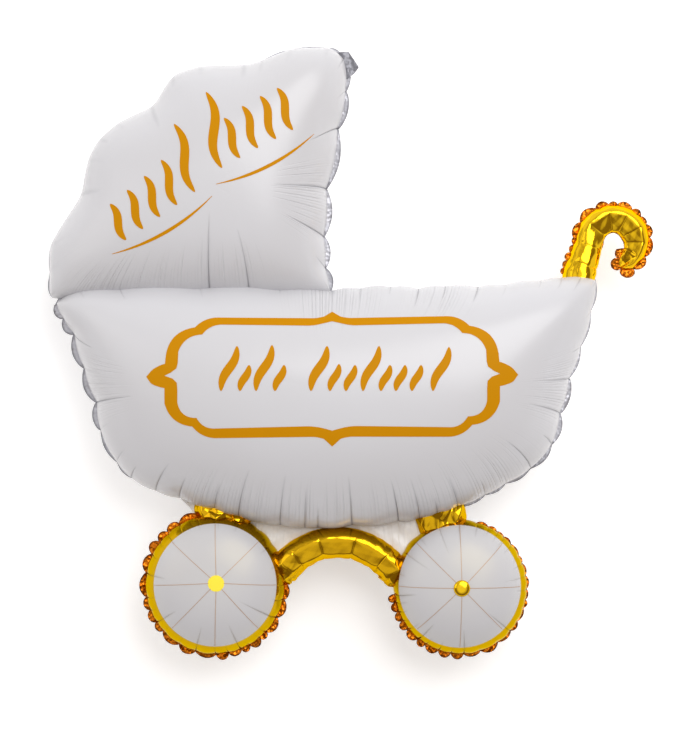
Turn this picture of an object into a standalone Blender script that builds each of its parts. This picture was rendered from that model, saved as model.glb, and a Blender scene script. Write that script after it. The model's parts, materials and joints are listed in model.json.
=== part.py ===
"""Foil balloon in the shape of a baby carriage, blown up and lying on its back.

Two sheets of foil are welded together along one flat seam, so the whole balloon is one
sealed piece: a boat-shaped body, a hood above it, two wheels under it, an arched axle
between the wheels and a curled handle. The seam lies level, the printed front faces up
(+Z), the hood points to +Y and the handle is at +X. Lengths are in metres.
"""

import math

import bmesh
import bpy
import numpy as np

# Body, the boat-shaped lower chamber
BODY_LENGTH = 0.700
BODY_HEIGHT = 0.328
BODY_DEPTH = 0.210
REST_FLAT = 0.012  # how far the floor presses in the bulge of the back

# Hood, the upper chamber
HOOD_WIDTH = 0.384
HOOD_HEIGHT = 0.326
HOOD_DEPTH = 0.165
HOOD_OVERLAP = 0.020  # how far its lower edge reaches below the body's upper edge
HOOD_OVERHANG = 0.009  # how far it stands out to the left of the body

# Wheels
LEFT_WHEEL_RADIUS = 0.090
RIGHT_WHEEL_RADIUS = 0.086
WHEEL_DEPTH = 0.108
WHEEL_INSET = 0.206  # from the body's left end to the left wheel's centre
WHEEL_SPACING = 0.318
LEFT_WHEEL_GAP = 0.007  # from the body's lower edge to the wheel's rim
RIGHT_WHEEL_GAP = 0.020
WHEEL_LOBES = 26
LEFT_WHEEL_SEAM = (119, 358)  # degrees between which the flat seam stands out free
RIGHT_WHEEL_SEAM = (-171, 75)
NECK_HALF_WIDTH = 0.040
NECK_OFFSET = 0.014  # from above a wheel's centre towards the other wheel
NECK_DEPTH = 0.040

# Arched axle between the wheels
AXLE_RADIUS = 0.020
AXLE_RISE = 0.056  # from the wheels' centre line to the crown of the arch
AXLE_SPRING_ANGLE = 12  # degrees above the wheels' centre line where it leaves a wheel
AXLE_SEAT = 0.014  # how far its ends run on inside the wheels
AXLE_END_RADIUS = 0.012  # what the tube narrows to inside a wheel

# Curled handle
HANDLE_RADIUS = 0.018
HANDLE_FOOT_RADIUS = 0.021
HANDLE_INSET = 0.022  # from the body's right end to the middle of the handle's foot
HANDLE_STEM = 0.043  # from the body's upper edge to the start of the curl
HANDLE_LEAN = 0.014
CURL_RADIUS = 0.0305
CURL_TURN = 232  # degrees
TIP_RADIUS = 0.012  # what the tube narrows to at its end

# Welded seam that stands out flat around every chamber
SEAM_WIDTH = 0.0080
SEAM_WIDTH_AT_PINCH = 0.0022
SEAM_THICKNESS = 0.0016
HANDLE_SEAM_WIDTH = 0.0055
TIP_SEAM_WIDTH = 0.0080
SEAM_STEP = 0.00007  # each plate is thinner than the one before by this
SEAM_SINK = 0.003  # how far a plate stays inside a chamber that has no free seam
TIP_SEAM_SWEEP = (25, 155, 6)  # degrees before and behind the handle's tip, and steps
WEB_FOOT_SHARE = 0.8  # of a wheel's radius, where the web ends inside the wheel
TAB_LENGTH = 0.019
TAB_WIDTH = 0.024
TAB_OUTLINE = (  # as shares of its length and width, from the hood's corner
    (-0.5, 0.5), (-0.5, -1.0), (0.2, -1.0), (1.0, -0.35), (0.6, 0.1), (0.3, 0.5),
)

# Puckers: the welded edge bows outwards from one pinch to the next
LOBE_RISE = 0.055  # as a share of the distance between two pinches
WHEEL_LOBE_RISE = 0.10

# Fineness of the facets
LOBE_STEPS = 2
WHEEL_LOBE_STEPS = 2
SEAM_STEPS = 4
WHEEL_SEAM_STEPS = 3
BODY_RINGS = 6
HOOD_RINGS = 6
WHEEL_RINGS = 5
TUBE_SIDES = 12
CURL_STEPS = 16
AXLE_STEPS = 12
NECK_STEPS = 6
TIP_DOME = (30, 55, 75)  # degrees, the rings that round off the handle's tip

# Pinches of the body's edge, from its left end down and around, as thousandths of its
# length and height
BODY_PINCHES = (
    (0, 889), (13, 830), (33, 767), (52, 632), (75, 497), (82, 387), (112, 260),
    (139, 197), (185, 145), (229, 118), (294, 74), (338, 44), (415, 11), (461, 0),
    (485, 0), (548, 11), (634, 27), (673, 38), (706, 54), (743, 84), (794, 131),
    (833, 177), (879, 236), (918, 331), (933, 454), (950, 592), (972, 719),
    (991, 861), (1000, 980), (972, 1000), (937, 990), (898, 980), (833, 964),
    (781, 954), (721, 958), (671, 947), (619, 956), (563, 949), (509, 939),
    (414, 960), (266, 968), (117, 964), (43, 953),
)
BODY_MIDDLE = (500, 560)
UPPER_EDGE_SHARE = 967  # height of the body's upper edge where the hood stands

# Pinches of the hood's edge, from its lower left corner round by the right, as
# thousandths of its width and height
HOOD_PINCHES = (
    (0, 4), (237, 0), (545, 0), (680, 0), (846, 2), (948, 28), (931, 124), (926, 248),
    (934, 439), (973, 679), (1000, 826), (995, 954), (948, 1000), (812, 996),
    (717, 950), (667, 932), (511, 928), (418, 892), (352, 766), (227, 697),
    (167, 635), (130, 555), (108, 411), (44, 299), (0, 208), (0, 104),
)
HOOD_MIDDLE = (560, 440)
HOOD_CORNER = (995, 950)


def scaled(shares, width, height, corner=(0.0, 0.0)):
    """Thousandths of a width and a height as points in metres."""
    return np.array(corner) + np.array(shares, float) / 1000 * (width, height)


def lobed_edge(pinches, steps, rise, flat=0.0, flat_at_pinch=0.0, free=None):
    """A closed edge that bows out in a sine from each pinch to the next.

    flat is the width of the seam added outside it in the middle of a lobe, and
    flat_at_pinch is the width added at a pinch. free marks the lobes that have such a
    seam; at the others the edge steps back inside.
    """
    ahead = np.roll(pinches, -1, axis=0)
    share = (np.arange(steps) / steps)[None, :, None]
    chord = (ahead - pinches)[:, None, :]
    length = np.linalg.norm(chord, axis=2, keepdims=True)
    outward = np.stack([chord[..., 1], -chord[..., 0]], axis=2) / length
    bow = np.sin(math.pi * share)
    edge = (pinches[:, None, :] + chord * share + outward * bow * rise * length).reshape(-1, 2)
    if not flat:
        return edge
    along = np.roll(edge, -1, axis=0) - np.roll(edge, 1, axis=0)
    across = np.stack([along[:, 1], -along[:, 0]], axis=1)
    across /= np.linalg.norm(across, axis=1, keepdims=True)
    width = flat_at_pinch + (flat - flat_at_pinch) * bow**0.6
    width = np.broadcast_to(width, (len(pinches), steps, 1))
    if free is not None:
        width = np.where(free[:, None, None], width, -SEAM_SINK)
    return edge + across * width.reshape(-1, 1)


def mean_distance(points, edge):
    """How far each point lies from the edge, as a mean over all directions.

    It is one over the integral of one over the distance, which each straight run of
    the edge adds to in closed form. It is nil on the edge and greatest in the middle.
    """
    start = edge[None, :, :] - points[:, None, :]
    end = np.roll(edge, -1, axis=0)[None, :, :] - points[:, None, :]
    run = end - start
    length = np.linalg.norm(run, axis=2)
    offset = (start[..., 0] * run[..., 1] - start[..., 1] * run[..., 0]) / length
    offset = np.where(np.abs(offset) < 1e-9, 1e-9, offset)
    sine_at_end = (end * run).sum(axis=2) / length / np.linalg.norm(end, axis=2)
    sine_at_start = (start * run).sum(axis=2) / length / np.linalg.norm(start, axis=2)
    return 1 / ((sine_at_end - sine_at_start) / offset).sum(axis=1)


def new_object(name, points, faces):
    mesh = bpy.data.meshes.new(name)
    mesh.from_pydata([tuple(point) for point in points], [], faces)
    mesh.validate()
    obj = bpy.data.objects.new(name, mesh)
    bpy.context.scene.collection.objects.link(obj)
    return obj


def pillow(name, edge, middle, depth, rings):
    """Two sheets welded along an edge and blown up to a depth.

    The height over the seam is the root of the mean distance to the edge.
    """
    count = len(edge)
    turns = np.arange(1, rings) / rings * math.pi / 2
    inner = [middle + (edge - middle) * math.cos(turn) ** (2 / 3) for turn in turns]
    plan = np.vstack([*inner, [middle]])
    distance = mean_distance(plan, edge)
    height = depth / 2 * np.sqrt(distance / distance.max())
    points = np.vstack([
        np.column_stack([edge, np.zeros(count)]),
        np.column_stack([plan, height]),
        np.column_stack([plan, -height]),
    ])
    faces = []
    for side in (0, 1):
        base = count + side * len(plan)
        rows = [0] + [base + count * ring for ring in range(rings - 1)]
        for outer, inside in zip(rows, rows[1:]):
            for i in range(count):
                j = (i + 1) % count
                face = (outer + i, outer + j, inside + j, inside + i)
                faces.append(face[::-1] if side else face)
        last = rows[-1]
        top = base + len(plan) - 1
        for i in range(count):
            face = (last + i, last + (i + 1) % count, top)
            faces.append(face[::-1] if side else face)
    return new_object(name, points, faces)


def plate(name, outline, thickness):
    """A flat piece of double foil in the plane of the seam."""
    shape = bmesh.new()
    corners = [shape.verts.new((x, y, -thickness / 2)) for x, y in outline]
    sheet = shape.faces.new(corners)
    grown = bmesh.ops.extrude_face_region(shape, geom=[sheet])["geom"]
    raised = [item for item in grown if isinstance(item, bmesh.types.BMVert)]
    bmesh.ops.translate(shape, verts=raised, vec=(0, 0, thickness))
    bmesh.ops.recalc_face_normals(shape, faces=shape.faces)
    mesh = bpy.data.meshes.new(name)
    shape.to_mesh(mesh)
    shape.free()
    obj = bpy.data.objects.new(name, mesh)
    bpy.context.scene.collection.objects.link(obj)
    return obj


def normals_of(line):
    """The direction to the left of a line at each of its points."""
    along = np.gradient(line, axis=0)
    along /= np.linalg.norm(along, axis=1, keepdims=True)
    return np.stack([-along[:, 1], along[:, 0]], axis=1)


def tube(name, line, radii):
    """A round tube whose centre line lies in the plane of the seam, closed at both ends."""
    across = normals_of(line)
    angles = np.arange(TUBE_SIDES) / TUBE_SIDES * 2 * math.pi + math.pi / TUBE_SIDES
    sideways = across[:, None, :] * (radii[:, None] * np.cos(angles))[..., None]
    upright = radii[:, None] * np.sin(angles)
    points = np.concatenate([line[:, None, :] + sideways, upright[..., None]], axis=2)
    last = (len(line) - 1) * TUBE_SIDES
    faces = [tuple(range(TUBE_SIDES)), tuple(range(last + TUBE_SIDES - 1, last - 1, -1))]
    for start in range(0, last, TUBE_SIDES):
        for i in range(TUBE_SIDES):
            j = (i + 1) % TUBE_SIDES
            faces.append((start + j, start + i, start + TUBE_SIDES + i, start + TUBE_SIDES + j))
    obj = new_object(name, points.reshape(-1, 3), faces)
    turned_out(obj)
    return obj


def turned_out(obj):
    """Faces the outside on every side."""
    shape = bmesh.new()
    shape.from_mesh(obj.data)
    bmesh.ops.recalc_face_normals(shape, faces=shape.faces)
    shape.to_mesh(obj.data)
    shape.free()


def puff(name, middle, half_width, half_height, half_depth):
    """A small ellipsoid of gold foil that joins a wheel to the body."""
    mesh = bpy.data.meshes.new(name)
    shape = bmesh.new()
    bmesh.ops.create_uvsphere(shape, u_segments=2 * NECK_STEPS, v_segments=NECK_STEPS, radius=1)
    bmesh.ops.scale(shape, vec=(half_width, half_height, half_depth), verts=shape.verts)
    bmesh.ops.translate(shape, vec=(*middle, 0), verts=shape.verts)
    shape.to_mesh(mesh)
    shape.free()
    obj = bpy.data.objects.new(name, mesh)
    bpy.context.scene.collection.objects.link(obj)
    return obj


def circle_through(first, crown, last):
    """Centre and radius of the circle through three points."""
    rows = 2 * np.array([crown - first, last - first])
    sums = np.array([crown @ crown - first @ first, last @ last - first @ first])
    centre = np.linalg.solve(rows, sums)
    return centre, np.linalg.norm(crown - centre)


def arc(centre, radius, start, end, steps):
    """Points of an arc, its angles in degrees counted anticlockwise from +X."""
    angles = np.radians(np.linspace(start, end, steps + 1))
    return centre + radius * np.stack([np.cos(angles), np.sin(angles)], axis=1)


def angle_of(point, centre):
    return math.degrees(math.atan2(point[1] - centre[1], point[0] - centre[0]))


BODY_EDGE_POINTS = scaled(BODY_PINCHES, BODY_LENGTH, BODY_HEIGHT)
BODY_CENTRE = scaled(BODY_MIDDLE, BODY_LENGTH, BODY_HEIGHT)
BODY_TOP = UPPER_EDGE_SHARE / 1000 * BODY_HEIGHT
HOOD_BASE = (-HOOD_OVERHANG, BODY_TOP - HOOD_OVERLAP)


def underside_at(x):
    """Height of the body's lower edge at x."""
    right_end = int(BODY_EDGE_POINTS[:, 0].argmax())
    lower = BODY_EDGE_POINTS[: right_end + 1]
    return float(np.interp(x, lower[:, 0], lower[:, 1]))


LEFT_WHEEL_X = WHEEL_INSET
RIGHT_WHEEL_X = WHEEL_INSET + WHEEL_SPACING
LEFT_WHEEL = np.array([
    LEFT_WHEEL_X,
    underside_at(LEFT_WHEEL_X) - LEFT_WHEEL_GAP - LEFT_WHEEL_RADIUS,
])
RIGHT_WHEEL = np.array([
    RIGHT_WHEEL_X,
    underside_at(RIGHT_WHEEL_X) - RIGHT_WHEEL_GAP - RIGHT_WHEEL_RADIUS,
])


def body():
    edge = lobed_edge(BODY_EDGE_POINTS, LOBE_STEPS, LOBE_RISE)
    return pillow("body", edge, BODY_CENTRE, BODY_DEPTH, BODY_RINGS)


def hood():
    pinches = scaled(HOOD_PINCHES, HOOD_WIDTH, HOOD_HEIGHT, HOOD_BASE)
    middle = scaled(HOOD_MIDDLE, HOOD_WIDTH, HOOD_HEIGHT, HOOD_BASE)
    edge = lobed_edge(pinches, LOBE_STEPS, LOBE_RISE)
    return pillow("hood", edge, middle, HOOD_DEPTH, HOOD_RINGS)


def wheel_pinches(centre, radius):
    return arc(centre, radius, 0, 360, WHEEL_LOBES)[:-1]


def free_lobes(first, last):
    """Marks the lobes of a wheel whose middle lies between two angles."""
    middles = (np.arange(WHEEL_LOBES) + 0.5) * 360 / WHEEL_LOBES
    return (middles - first) % 360 < last - first


def wheel(name, centre, radius):
    pinches = wheel_pinches(centre, radius)
    edge = lobed_edge(pinches, WHEEL_LOBE_STEPS, WHEEL_LOBE_RISE)
    return pillow(name, edge, centre, WHEEL_DEPTH, WHEEL_RINGS)


def neck(name, centre, radius, gap, side):
    """The puff spans the gap and reaches as far again into the wheel and the body."""
    middle = centre + np.array([-side * NECK_OFFSET, radius + gap / 2])
    return puff(name, middle, NECK_HALF_WIDTH, NECK_DEPTH / 2 + gap, NECK_DEPTH / 2)


def axle_line():
    """Centre line of the arch, from the left wheel over the crown to the right wheel."""
    rise = math.radians(AXLE_SPRING_ANGLE)
    reach = np.array([math.cos(rise), math.sin(rise)])
    left = LEFT_WHEEL + reach * LEFT_WHEEL_RADIUS
    right = RIGHT_WHEEL + reach * (-1, 1) * RIGHT_WHEEL_RADIUS
    crown = (LEFT_WHEEL + RIGHT_WHEEL) / 2 + np.array([0, AXLE_RISE])
    centre, radius = circle_through(left, crown, right)
    line = arc(centre, radius, angle_of(left, centre), angle_of(right, centre), AXLE_STEPS)
    ends = [run / np.linalg.norm(run) * AXLE_SEAT for run in (line[0] - line[1], line[-1] - line[-2])]
    return np.vstack([line[0] + ends[0], line, line[-1] + ends[1]])


def axle():
    line = axle_line()
    radii = np.full(len(line), AXLE_RADIUS)
    radii[[0, -1]] = AXLE_END_RADIUS
    return tube("axle", line, radii)


def handle_line():
    """Centre line and radii of the handle, from inside the body up and round the curl."""
    foot = np.array([BODY_LENGTH - HANDLE_INSET, BODY_HEIGHT])
    start = foot + (HANDLE_LEAN, HANDLE_STEM)
    sunk = foot - (0, HANDLE_FOOT_RADIUS)
    curl = arc(start + (CURL_RADIUS, 0), CURL_RADIUS, 180, 180 - CURL_TURN, CURL_STEPS)
    along = curl[-1] - curl[-2]
    along /= np.linalg.norm(along)
    domes = np.radians(TIP_DOME)
    tip = curl[-1] + along * TIP_RADIUS * np.sin(domes)[:, None]
    line = np.vstack([sunk, foot, (foot + start) / 2, curl, tip])
    narrowing = np.linspace(HANDLE_RADIUS, TIP_RADIUS, CURL_STEPS // 3)
    radii = np.concatenate([
        [HANDLE_FOOT_RADIUS] * 2,
        np.full(2 + CURL_STEPS - len(narrowing), HANDLE_RADIUS),
        narrowing,
        TIP_RADIUS * np.cos(domes),
    ])
    return line, radii


def handle():
    return tube("handle", *handle_line())


def handle_seam():
    """Outline of the flat seam around the handle, scalloped outside the curl."""
    line, radii = handle_line()
    line, radii = line[:-len(TIP_DOME)], radii[:-len(TIP_DOME)]
    line[0] -= (0, HANDLE_SEAM_WIDTH)
    across = normals_of(line)
    scallop = np.where(np.arange(len(line)) % 2, HANDLE_SEAM_WIDTH, SEAM_WIDTH_AT_PINCH)
    outer = line + across * (radii + scallop)[:, None]
    inner = line - across * (radii + SEAM_WIDTH_AT_PINCH / 2)[:, None]
    facing = angle_of(across[-1], (0, 0))
    before, behind, steps = TIP_SEAM_SWEEP
    tip = arc(line[-1], 1.0, facing - before, facing - behind, steps) - line[-1]
    reach = np.where(np.arange(len(tip)) % 2, TIP_SEAM_WIDTH, SEAM_WIDTH_AT_PINCH)
    tip = line[-1] + tip * (TIP_RADIUS + reach)[:, None]
    return np.vstack([outer, tip, inner[::-1]])


def web(side):
    """Flat sheet between the body, the arch and one wheel; side is -1 left, 1 right.

    It runs on a tube's radius past the crown, so the two sheets close the whole gap.
    """
    centre = LEFT_WHEEL if side < 0 else RIGHT_WHEEL
    radius = LEFT_WHEEL_RADIUS if side < 0 else RIGHT_WHEEL_RADIUS
    line = axle_line()
    half = line[: len(line) // 2 + 1] if side < 0 else line[len(line) // 2:][::-1]
    crown_x = half[-1][0] - side * AXLE_RADIUS
    outer_x = centre[0] - side * NECK_OFFSET
    top = [[x, underside_at(x) + SEAM_WIDTH] for x in (crown_x, outer_x)]
    inside_wheel = centre + np.array([0, WEB_FOOT_SHARE]) * radius
    return np.vstack([half, top, [inside_wheel]])


def tab():
    """Outline of the small loose corner of foil at the hood's upper right."""
    corner = scaled(HOOD_CORNER, HOOD_WIDTH, HOOD_HEIGHT, HOOD_BASE)
    return corner + np.array(TAB_OUTLINE) * (TAB_LENGTH, TAB_WIDTH)


def seam_plates():
    """Outlines of all flat double foil, the widest first."""
    hood_pinches = scaled(HOOD_PINCHES, HOOD_WIDTH, HOOD_HEIGHT, HOOD_BASE)
    yield "body_seam", lobed_edge(
        BODY_EDGE_POINTS, SEAM_STEPS, LOBE_RISE, SEAM_WIDTH, SEAM_WIDTH_AT_PINCH)
    yield "hood_seam", lobed_edge(
        hood_pinches, SEAM_STEPS, LOBE_RISE, SEAM_WIDTH, SEAM_WIDTH_AT_PINCH)
    for (name, centre, radius), ends in zip(wheels(), (LEFT_WHEEL_SEAM, RIGHT_WHEEL_SEAM)):
        yield name + "_seam", lobed_edge(
            wheel_pinches(centre, radius), WHEEL_SEAM_STEPS, WHEEL_LOBE_RISE,
            SEAM_WIDTH, SEAM_WIDTH_AT_PINCH, free_lobes(*ends))
    yield "handle_seam", handle_seam()
    yield "left_web", web(-1)
    yield "right_web", web(1)
    yield "hood_tab", tab()


def wheels():
    return (
        ("left_wheel", LEFT_WHEEL, LEFT_WHEEL_RADIUS),
        ("right_wheel", RIGHT_WHEEL, RIGHT_WHEEL_RADIUS),
    )


def unite(target, others):
    """Joins the others to the target in one skin and removes them."""
    for other in others:
        join = target.modifiers.new(other.name, "BOOLEAN")
        join.operation = "UNION"
        join.solver = "EXACT"
        join.object = other
        bpy.context.view_layer.update()
        joined = bpy.data.meshes.new_from_object(
            target.evaluated_get(bpy.context.evaluated_depsgraph_get()))
        target.modifiers.clear()
        target.data = joined
        bpy.data.objects.remove(other)


def pressed_flat(obj, level):
    """Cuts off what hangs below a level and closes the cut with one flat face."""
    shape = bmesh.new()
    shape.from_mesh(obj.data)
    everything = [*shape.verts, *shape.edges, *shape.faces]
    cut = bmesh.ops.bisect_plane(
        shape, geom=everything, plane_co=(0, 0, level), plane_no=(0, 0, -1), clear_outer=True)
    rim = [item for item in cut["geom_cut"] if isinstance(item, bmesh.types.BMEdge)]
    bmesh.ops.contextual_create(shape, geom=rim)
    bmesh.ops.recalc_face_normals(shape, faces=shape.faces)
    shape.to_mesh(obj.data)
    shape.free()


def stand_on_origin(obj):
    """Moves the mesh so that the middle of its underside is the origin."""
    points = np.array([vertex.co for vertex in obj.data.vertices])
    low, high = points.min(axis=0), points.max(axis=0)
    shift = np.array([(low[0] + high[0]) / 2, (low[1] + high[1]) / 2, low[2]])
    obj.data.vertices.foreach_set("co", (points - shift).ravel())
    obj.data.update()


def white_foil():
    material = bpy.data.materials.new("white_foil")
    material.use_nodes = True
    shader = material.node_tree.nodes["Principled BSDF"]
    shader.inputs["Base Color"].default_value = (0.82, 0.82, 0.84, 1)
    shader.inputs["Roughness"].default_value = 0.35
    shader.inputs["Metallic"].default_value = 0.0
    return material


def build():
    for obj in list(bpy.data.objects):
        bpy.data.objects.remove(obj)
    balloon = body()
    balloon.name = "balloon"
    chambers = [hood()]
    chambers += [wheel(*one) for one in wheels()]
    chambers.append(neck("left_neck", LEFT_WHEEL, LEFT_WHEEL_RADIUS, LEFT_WHEEL_GAP, -1))
    chambers.append(neck("right_neck", RIGHT_WHEEL, RIGHT_WHEEL_RADIUS, RIGHT_WHEEL_GAP, 1))
    chambers += [axle(), handle()]
    plates = [
        plate(name, outline, SEAM_THICKNESS - SEAM_STEP * number)
        for number, (name, outline) in enumerate(seam_plates())
    ]
    unite(balloon, chambers + plates)
    pressed_flat(balloon, REST_FLAT - BODY_DEPTH / 2)
    stand_on_origin(balloon)
    balloon.data.materials.clear()
    balloon.data.materials.append(white_foil())
    balloon.data.shade_smooth()
    balloon.data.set_sharp_from_angle(angle=math.radians(50))


build()
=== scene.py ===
# %% [markdown]
# # A baby carriage foil balloon
# The balloon lies on its back on a pale floor, and we look straight down on its printed
# front. It is made of two sheets of foil, welded together along one flat seam and blown
# up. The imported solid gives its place, its size and the level of the seam, and every
# piece below is a finer skin over that solid.

# %% Load the frame
import json
import math
import bmesh
import bpy
import numpy as np
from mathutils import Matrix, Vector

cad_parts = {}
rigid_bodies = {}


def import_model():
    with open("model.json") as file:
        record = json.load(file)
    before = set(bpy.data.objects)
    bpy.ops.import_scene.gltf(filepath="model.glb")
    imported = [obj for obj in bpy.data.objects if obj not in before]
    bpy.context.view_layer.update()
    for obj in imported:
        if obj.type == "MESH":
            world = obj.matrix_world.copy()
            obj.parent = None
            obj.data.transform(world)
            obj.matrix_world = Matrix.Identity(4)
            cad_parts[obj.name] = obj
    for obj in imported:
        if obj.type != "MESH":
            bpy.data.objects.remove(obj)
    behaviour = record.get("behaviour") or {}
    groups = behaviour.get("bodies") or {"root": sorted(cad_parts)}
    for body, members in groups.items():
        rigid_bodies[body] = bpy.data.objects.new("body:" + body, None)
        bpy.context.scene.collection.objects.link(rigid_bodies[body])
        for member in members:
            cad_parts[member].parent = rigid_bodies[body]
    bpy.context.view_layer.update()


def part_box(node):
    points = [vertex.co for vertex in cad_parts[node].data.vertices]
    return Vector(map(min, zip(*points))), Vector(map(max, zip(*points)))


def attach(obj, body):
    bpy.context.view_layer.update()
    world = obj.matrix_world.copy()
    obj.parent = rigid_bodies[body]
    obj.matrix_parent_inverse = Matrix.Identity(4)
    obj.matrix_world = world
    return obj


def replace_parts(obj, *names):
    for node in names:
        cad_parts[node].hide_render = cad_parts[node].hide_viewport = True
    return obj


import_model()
low, high = (np.array(corner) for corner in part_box("balloon"))
print("solid:", [round(float(side), 3) for side in high - low], "m")

# %% [markdown]
# ## Sizes
# These are the real sizes of the balloon, the same ones that its solid was made from.
# The seam's level and the body's corner come from the solid's box, so the skins stay on
# it when the solid moves. The photograph was taken square to the front, so a place in
# it becomes a place on the seam's plane by one scale.

# %% Sizes and the photograph's scale
BODY_LENGTH, BODY_HEIGHT, BODY_DEPTH = 0.700, 0.328, 0.210
HOOD_WIDTH, HOOD_HEIGHT, HOOD_DEPTH = 0.384, 0.326, 0.165
HOOD_OVERLAP, HOOD_OVERHANG, UPPER_EDGE_SHARE = 0.020, 0.009, 0.967
LEFT_WHEEL_RADIUS, RIGHT_WHEEL_RADIUS, WHEEL_DEPTH = 0.090, 0.086, 0.108
WHEEL_INSET, WHEEL_SPACING = 0.206, 0.318
LEFT_WHEEL_GAP, RIGHT_WHEEL_GAP = 0.007, 0.020
SEAM_WIDTH = 0.0080
BODY_FROM_BOX = np.array([0.0189, 0.1715])
CORNER = low[:2] + BODY_FROM_BOX
SEAM_LEVEL = high[2] - BODY_DEPTH / 2
METRES_A_PIXEL = 0.0013
BODY_CORNER_PIXEL = np.array([57.0, 527.7])
CAMERA_DISTANCE = 3.0
IMAGE_WIDTH, IMAGE_HEIGHT = 700, 735


def from_photo(pixels):
    """Pixels of the photograph as points on the seam's plane: scaled, with y turned up."""
    offset = (np.asarray(pixels, float) - BODY_CORNER_PIXEL) * (METRES_A_PIXEL, -METRES_A_PIXEL)
    return CORNER + offset


PHOTO_MIDDLE = from_photo((IMAGE_WIDTH / 2, IMAGE_HEIGHT / 2))
print("seam level", round(SEAM_LEVEL, 4), "photo middle", PHOTO_MIDDLE.round(4))

# %% [markdown]
# ## The welded edge
# A foil balloon's edge isn't smooth. When the flat film is blown up the edge gets too
# long for the shape, so it gathers into pinches with a small lobe between each two. We
# write the outline as its pinches, in thousandths of the chamber's size, and let a sine
# bow the edge outwards from pinch to pinch. Points crowd together near the pinches,
# because the sharp folds start there.

# %% Outlines by their pinches
BODY_PINCHES = (
    (0, 889), (13, 830), (33, 767), (52, 632), (75, 497), (82, 387), (112, 260),
    (139, 197), (185, 145), (229, 118), (294, 74), (338, 44), (415, 11), (461, 0),
    (485, 0), (548, 11), (634, 27), (673, 38), (706, 54), (743, 84), (794, 131),
    (833, 177), (879, 236), (918, 331), (933, 454), (950, 592), (972, 719),
    (991, 861), (1000, 980), (972, 1000), (937, 990), (898, 980), (833, 964),
    (781, 954), (721, 958), (671, 947), (619, 956), (563, 949), (509, 939),
    (414, 960), (266, 968), (117, 964), (43, 953),
)
HOOD_PINCHES = (
    (0, 4), (237, 0), (545, 0), (680, 0), (846, 2), (948, 28), (931, 124), (926, 248),
    (934, 439), (973, 679), (1000, 826), (995, 954), (948, 1000), (812, 996),
    (717, 950), (667, 932), (511, 928), (418, 892), (352, 766), (227, 697),
    (167, 635), (130, 555), (108, 411), (44, 299), (0, 208), (0, 104),
)
BODY_MIDDLE, HOOD_MIDDLE = (500, 560), (560, 440)
LOBE_RISE = 0.055
HOOD_RISES = np.array(
    [20] * 4 + [60] + [55] * 7 + [30, 5, 0, 10, 25, 35, 25, 30, 30, 20, 0, 15, 15, 15]) / 1000
# the pinches of the hood's top and left side, which the photograph shows rounded
HOOD_SOFT = np.arange(26) >= 12
SOFT_MASK_REACH, SOFT_EDGE_REACH = 4, 7


def scaled(shares, width, height, corner):
    """Thousandths of a width and a height, counted from a corner, in metres."""
    return np.array(corner) + np.array(shares, float) / 1000 * (width, height)


def crowded(steps):
    """Shares of a run, from 0 up, that crowd together at both of its ends."""
    return (1 - np.cos(np.pi * np.arange(steps) / steps)) / 2


def running_mean(values, reach):
    """The mean of each point and its neighbours on both sides around a closed line."""
    return sum(np.roll(values, step, axis=0) for step in range(-reach, reach + 1)) / (2 * reach + 1)


def lobed_edge(pinches, steps, rise, soft=None):
    """Straight from pinch to pinch, plus half a sine wave outwards; also the share of each lobe.

    Where soft is true the pinch behind the lobe is rounded off by a running mean.
    """
    share = crowded(steps)
    chord = (np.roll(pinches, -1, axis=0) - pinches)[:, None, :]
    length = np.linalg.norm(chord, axis=2, keepdims=True)
    outward = np.stack([chord[..., 1], -chord[..., 0]], axis=2) / length
    bow = np.sin(np.pi * share)[None, :, None]
    rise = np.broadcast_to(rise, len(pinches))[:, None, None]
    edge = (pinches[:, None, :] + chord * share[None, :, None] + outward * bow * rise * length)
    edge = edge.reshape(-1, 2)
    if soft is not None:
        mask = running_mean(np.repeat(soft.astype(float), steps), SOFT_MASK_REACH)[:, None]
        edge = edge * (1 - mask) + running_mean(edge, SOFT_EDGE_REACH) * mask
    return edge, np.tile(share, len(pinches))


hood_corner = CORNER + (-HOOD_OVERHANG, UPPER_EDGE_SHARE * BODY_HEIGHT - HOOD_OVERLAP)
body_pinches = scaled(BODY_PINCHES, BODY_LENGTH, BODY_HEIGHT, CORNER)
hood_pinches = scaled(HOOD_PINCHES, HOOD_WIDTH, HOOD_HEIGHT, hood_corner)
print(len(body_pinches), "pinches around the body,", len(hood_pinches), "around the hood")

# %% [markdown]
# ## How far two welded sheets blow up
# The height over the seam follows the mean distance to the edge, taken over all
# directions: nil at the seam, steep just inside it and flat in the middle, and low in a
# narrow corner. Each straight run of the edge adds to the mean in closed form, so whole
# arrays of points are worked out at once and no simulation is needed.


# %% The blown height
def mean_distance(points, edge, block=4000):
    """One over the integral, over all directions, of one over the distance to the edge."""
    result = np.empty(len(points))
    run = np.roll(edge, -1, axis=0) - edge
    length = np.linalg.norm(run, axis=1)
    along = run / length[:, None]
    for first in range(0, len(points), block):
        start = edge[None] - points[first:first + block, None]
        near = np.hypot(start[..., 0], start[..., 1])
        far = np.roll(near, -1, axis=1)
        shadow = start[..., 0] * along[:, 0] + start[..., 1] * along[:, 1]
        offset = start[..., 0] * along[:, 1] - start[..., 1] * along[:, 0]
        offset = np.where(np.abs(offset) < 1e-9, 1e-9, offset)
        total = ((shadow + length) / far - shadow / near) / offset
        result[first:first + block] = 1 / total.sum(axis=1)
    return result


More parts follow.
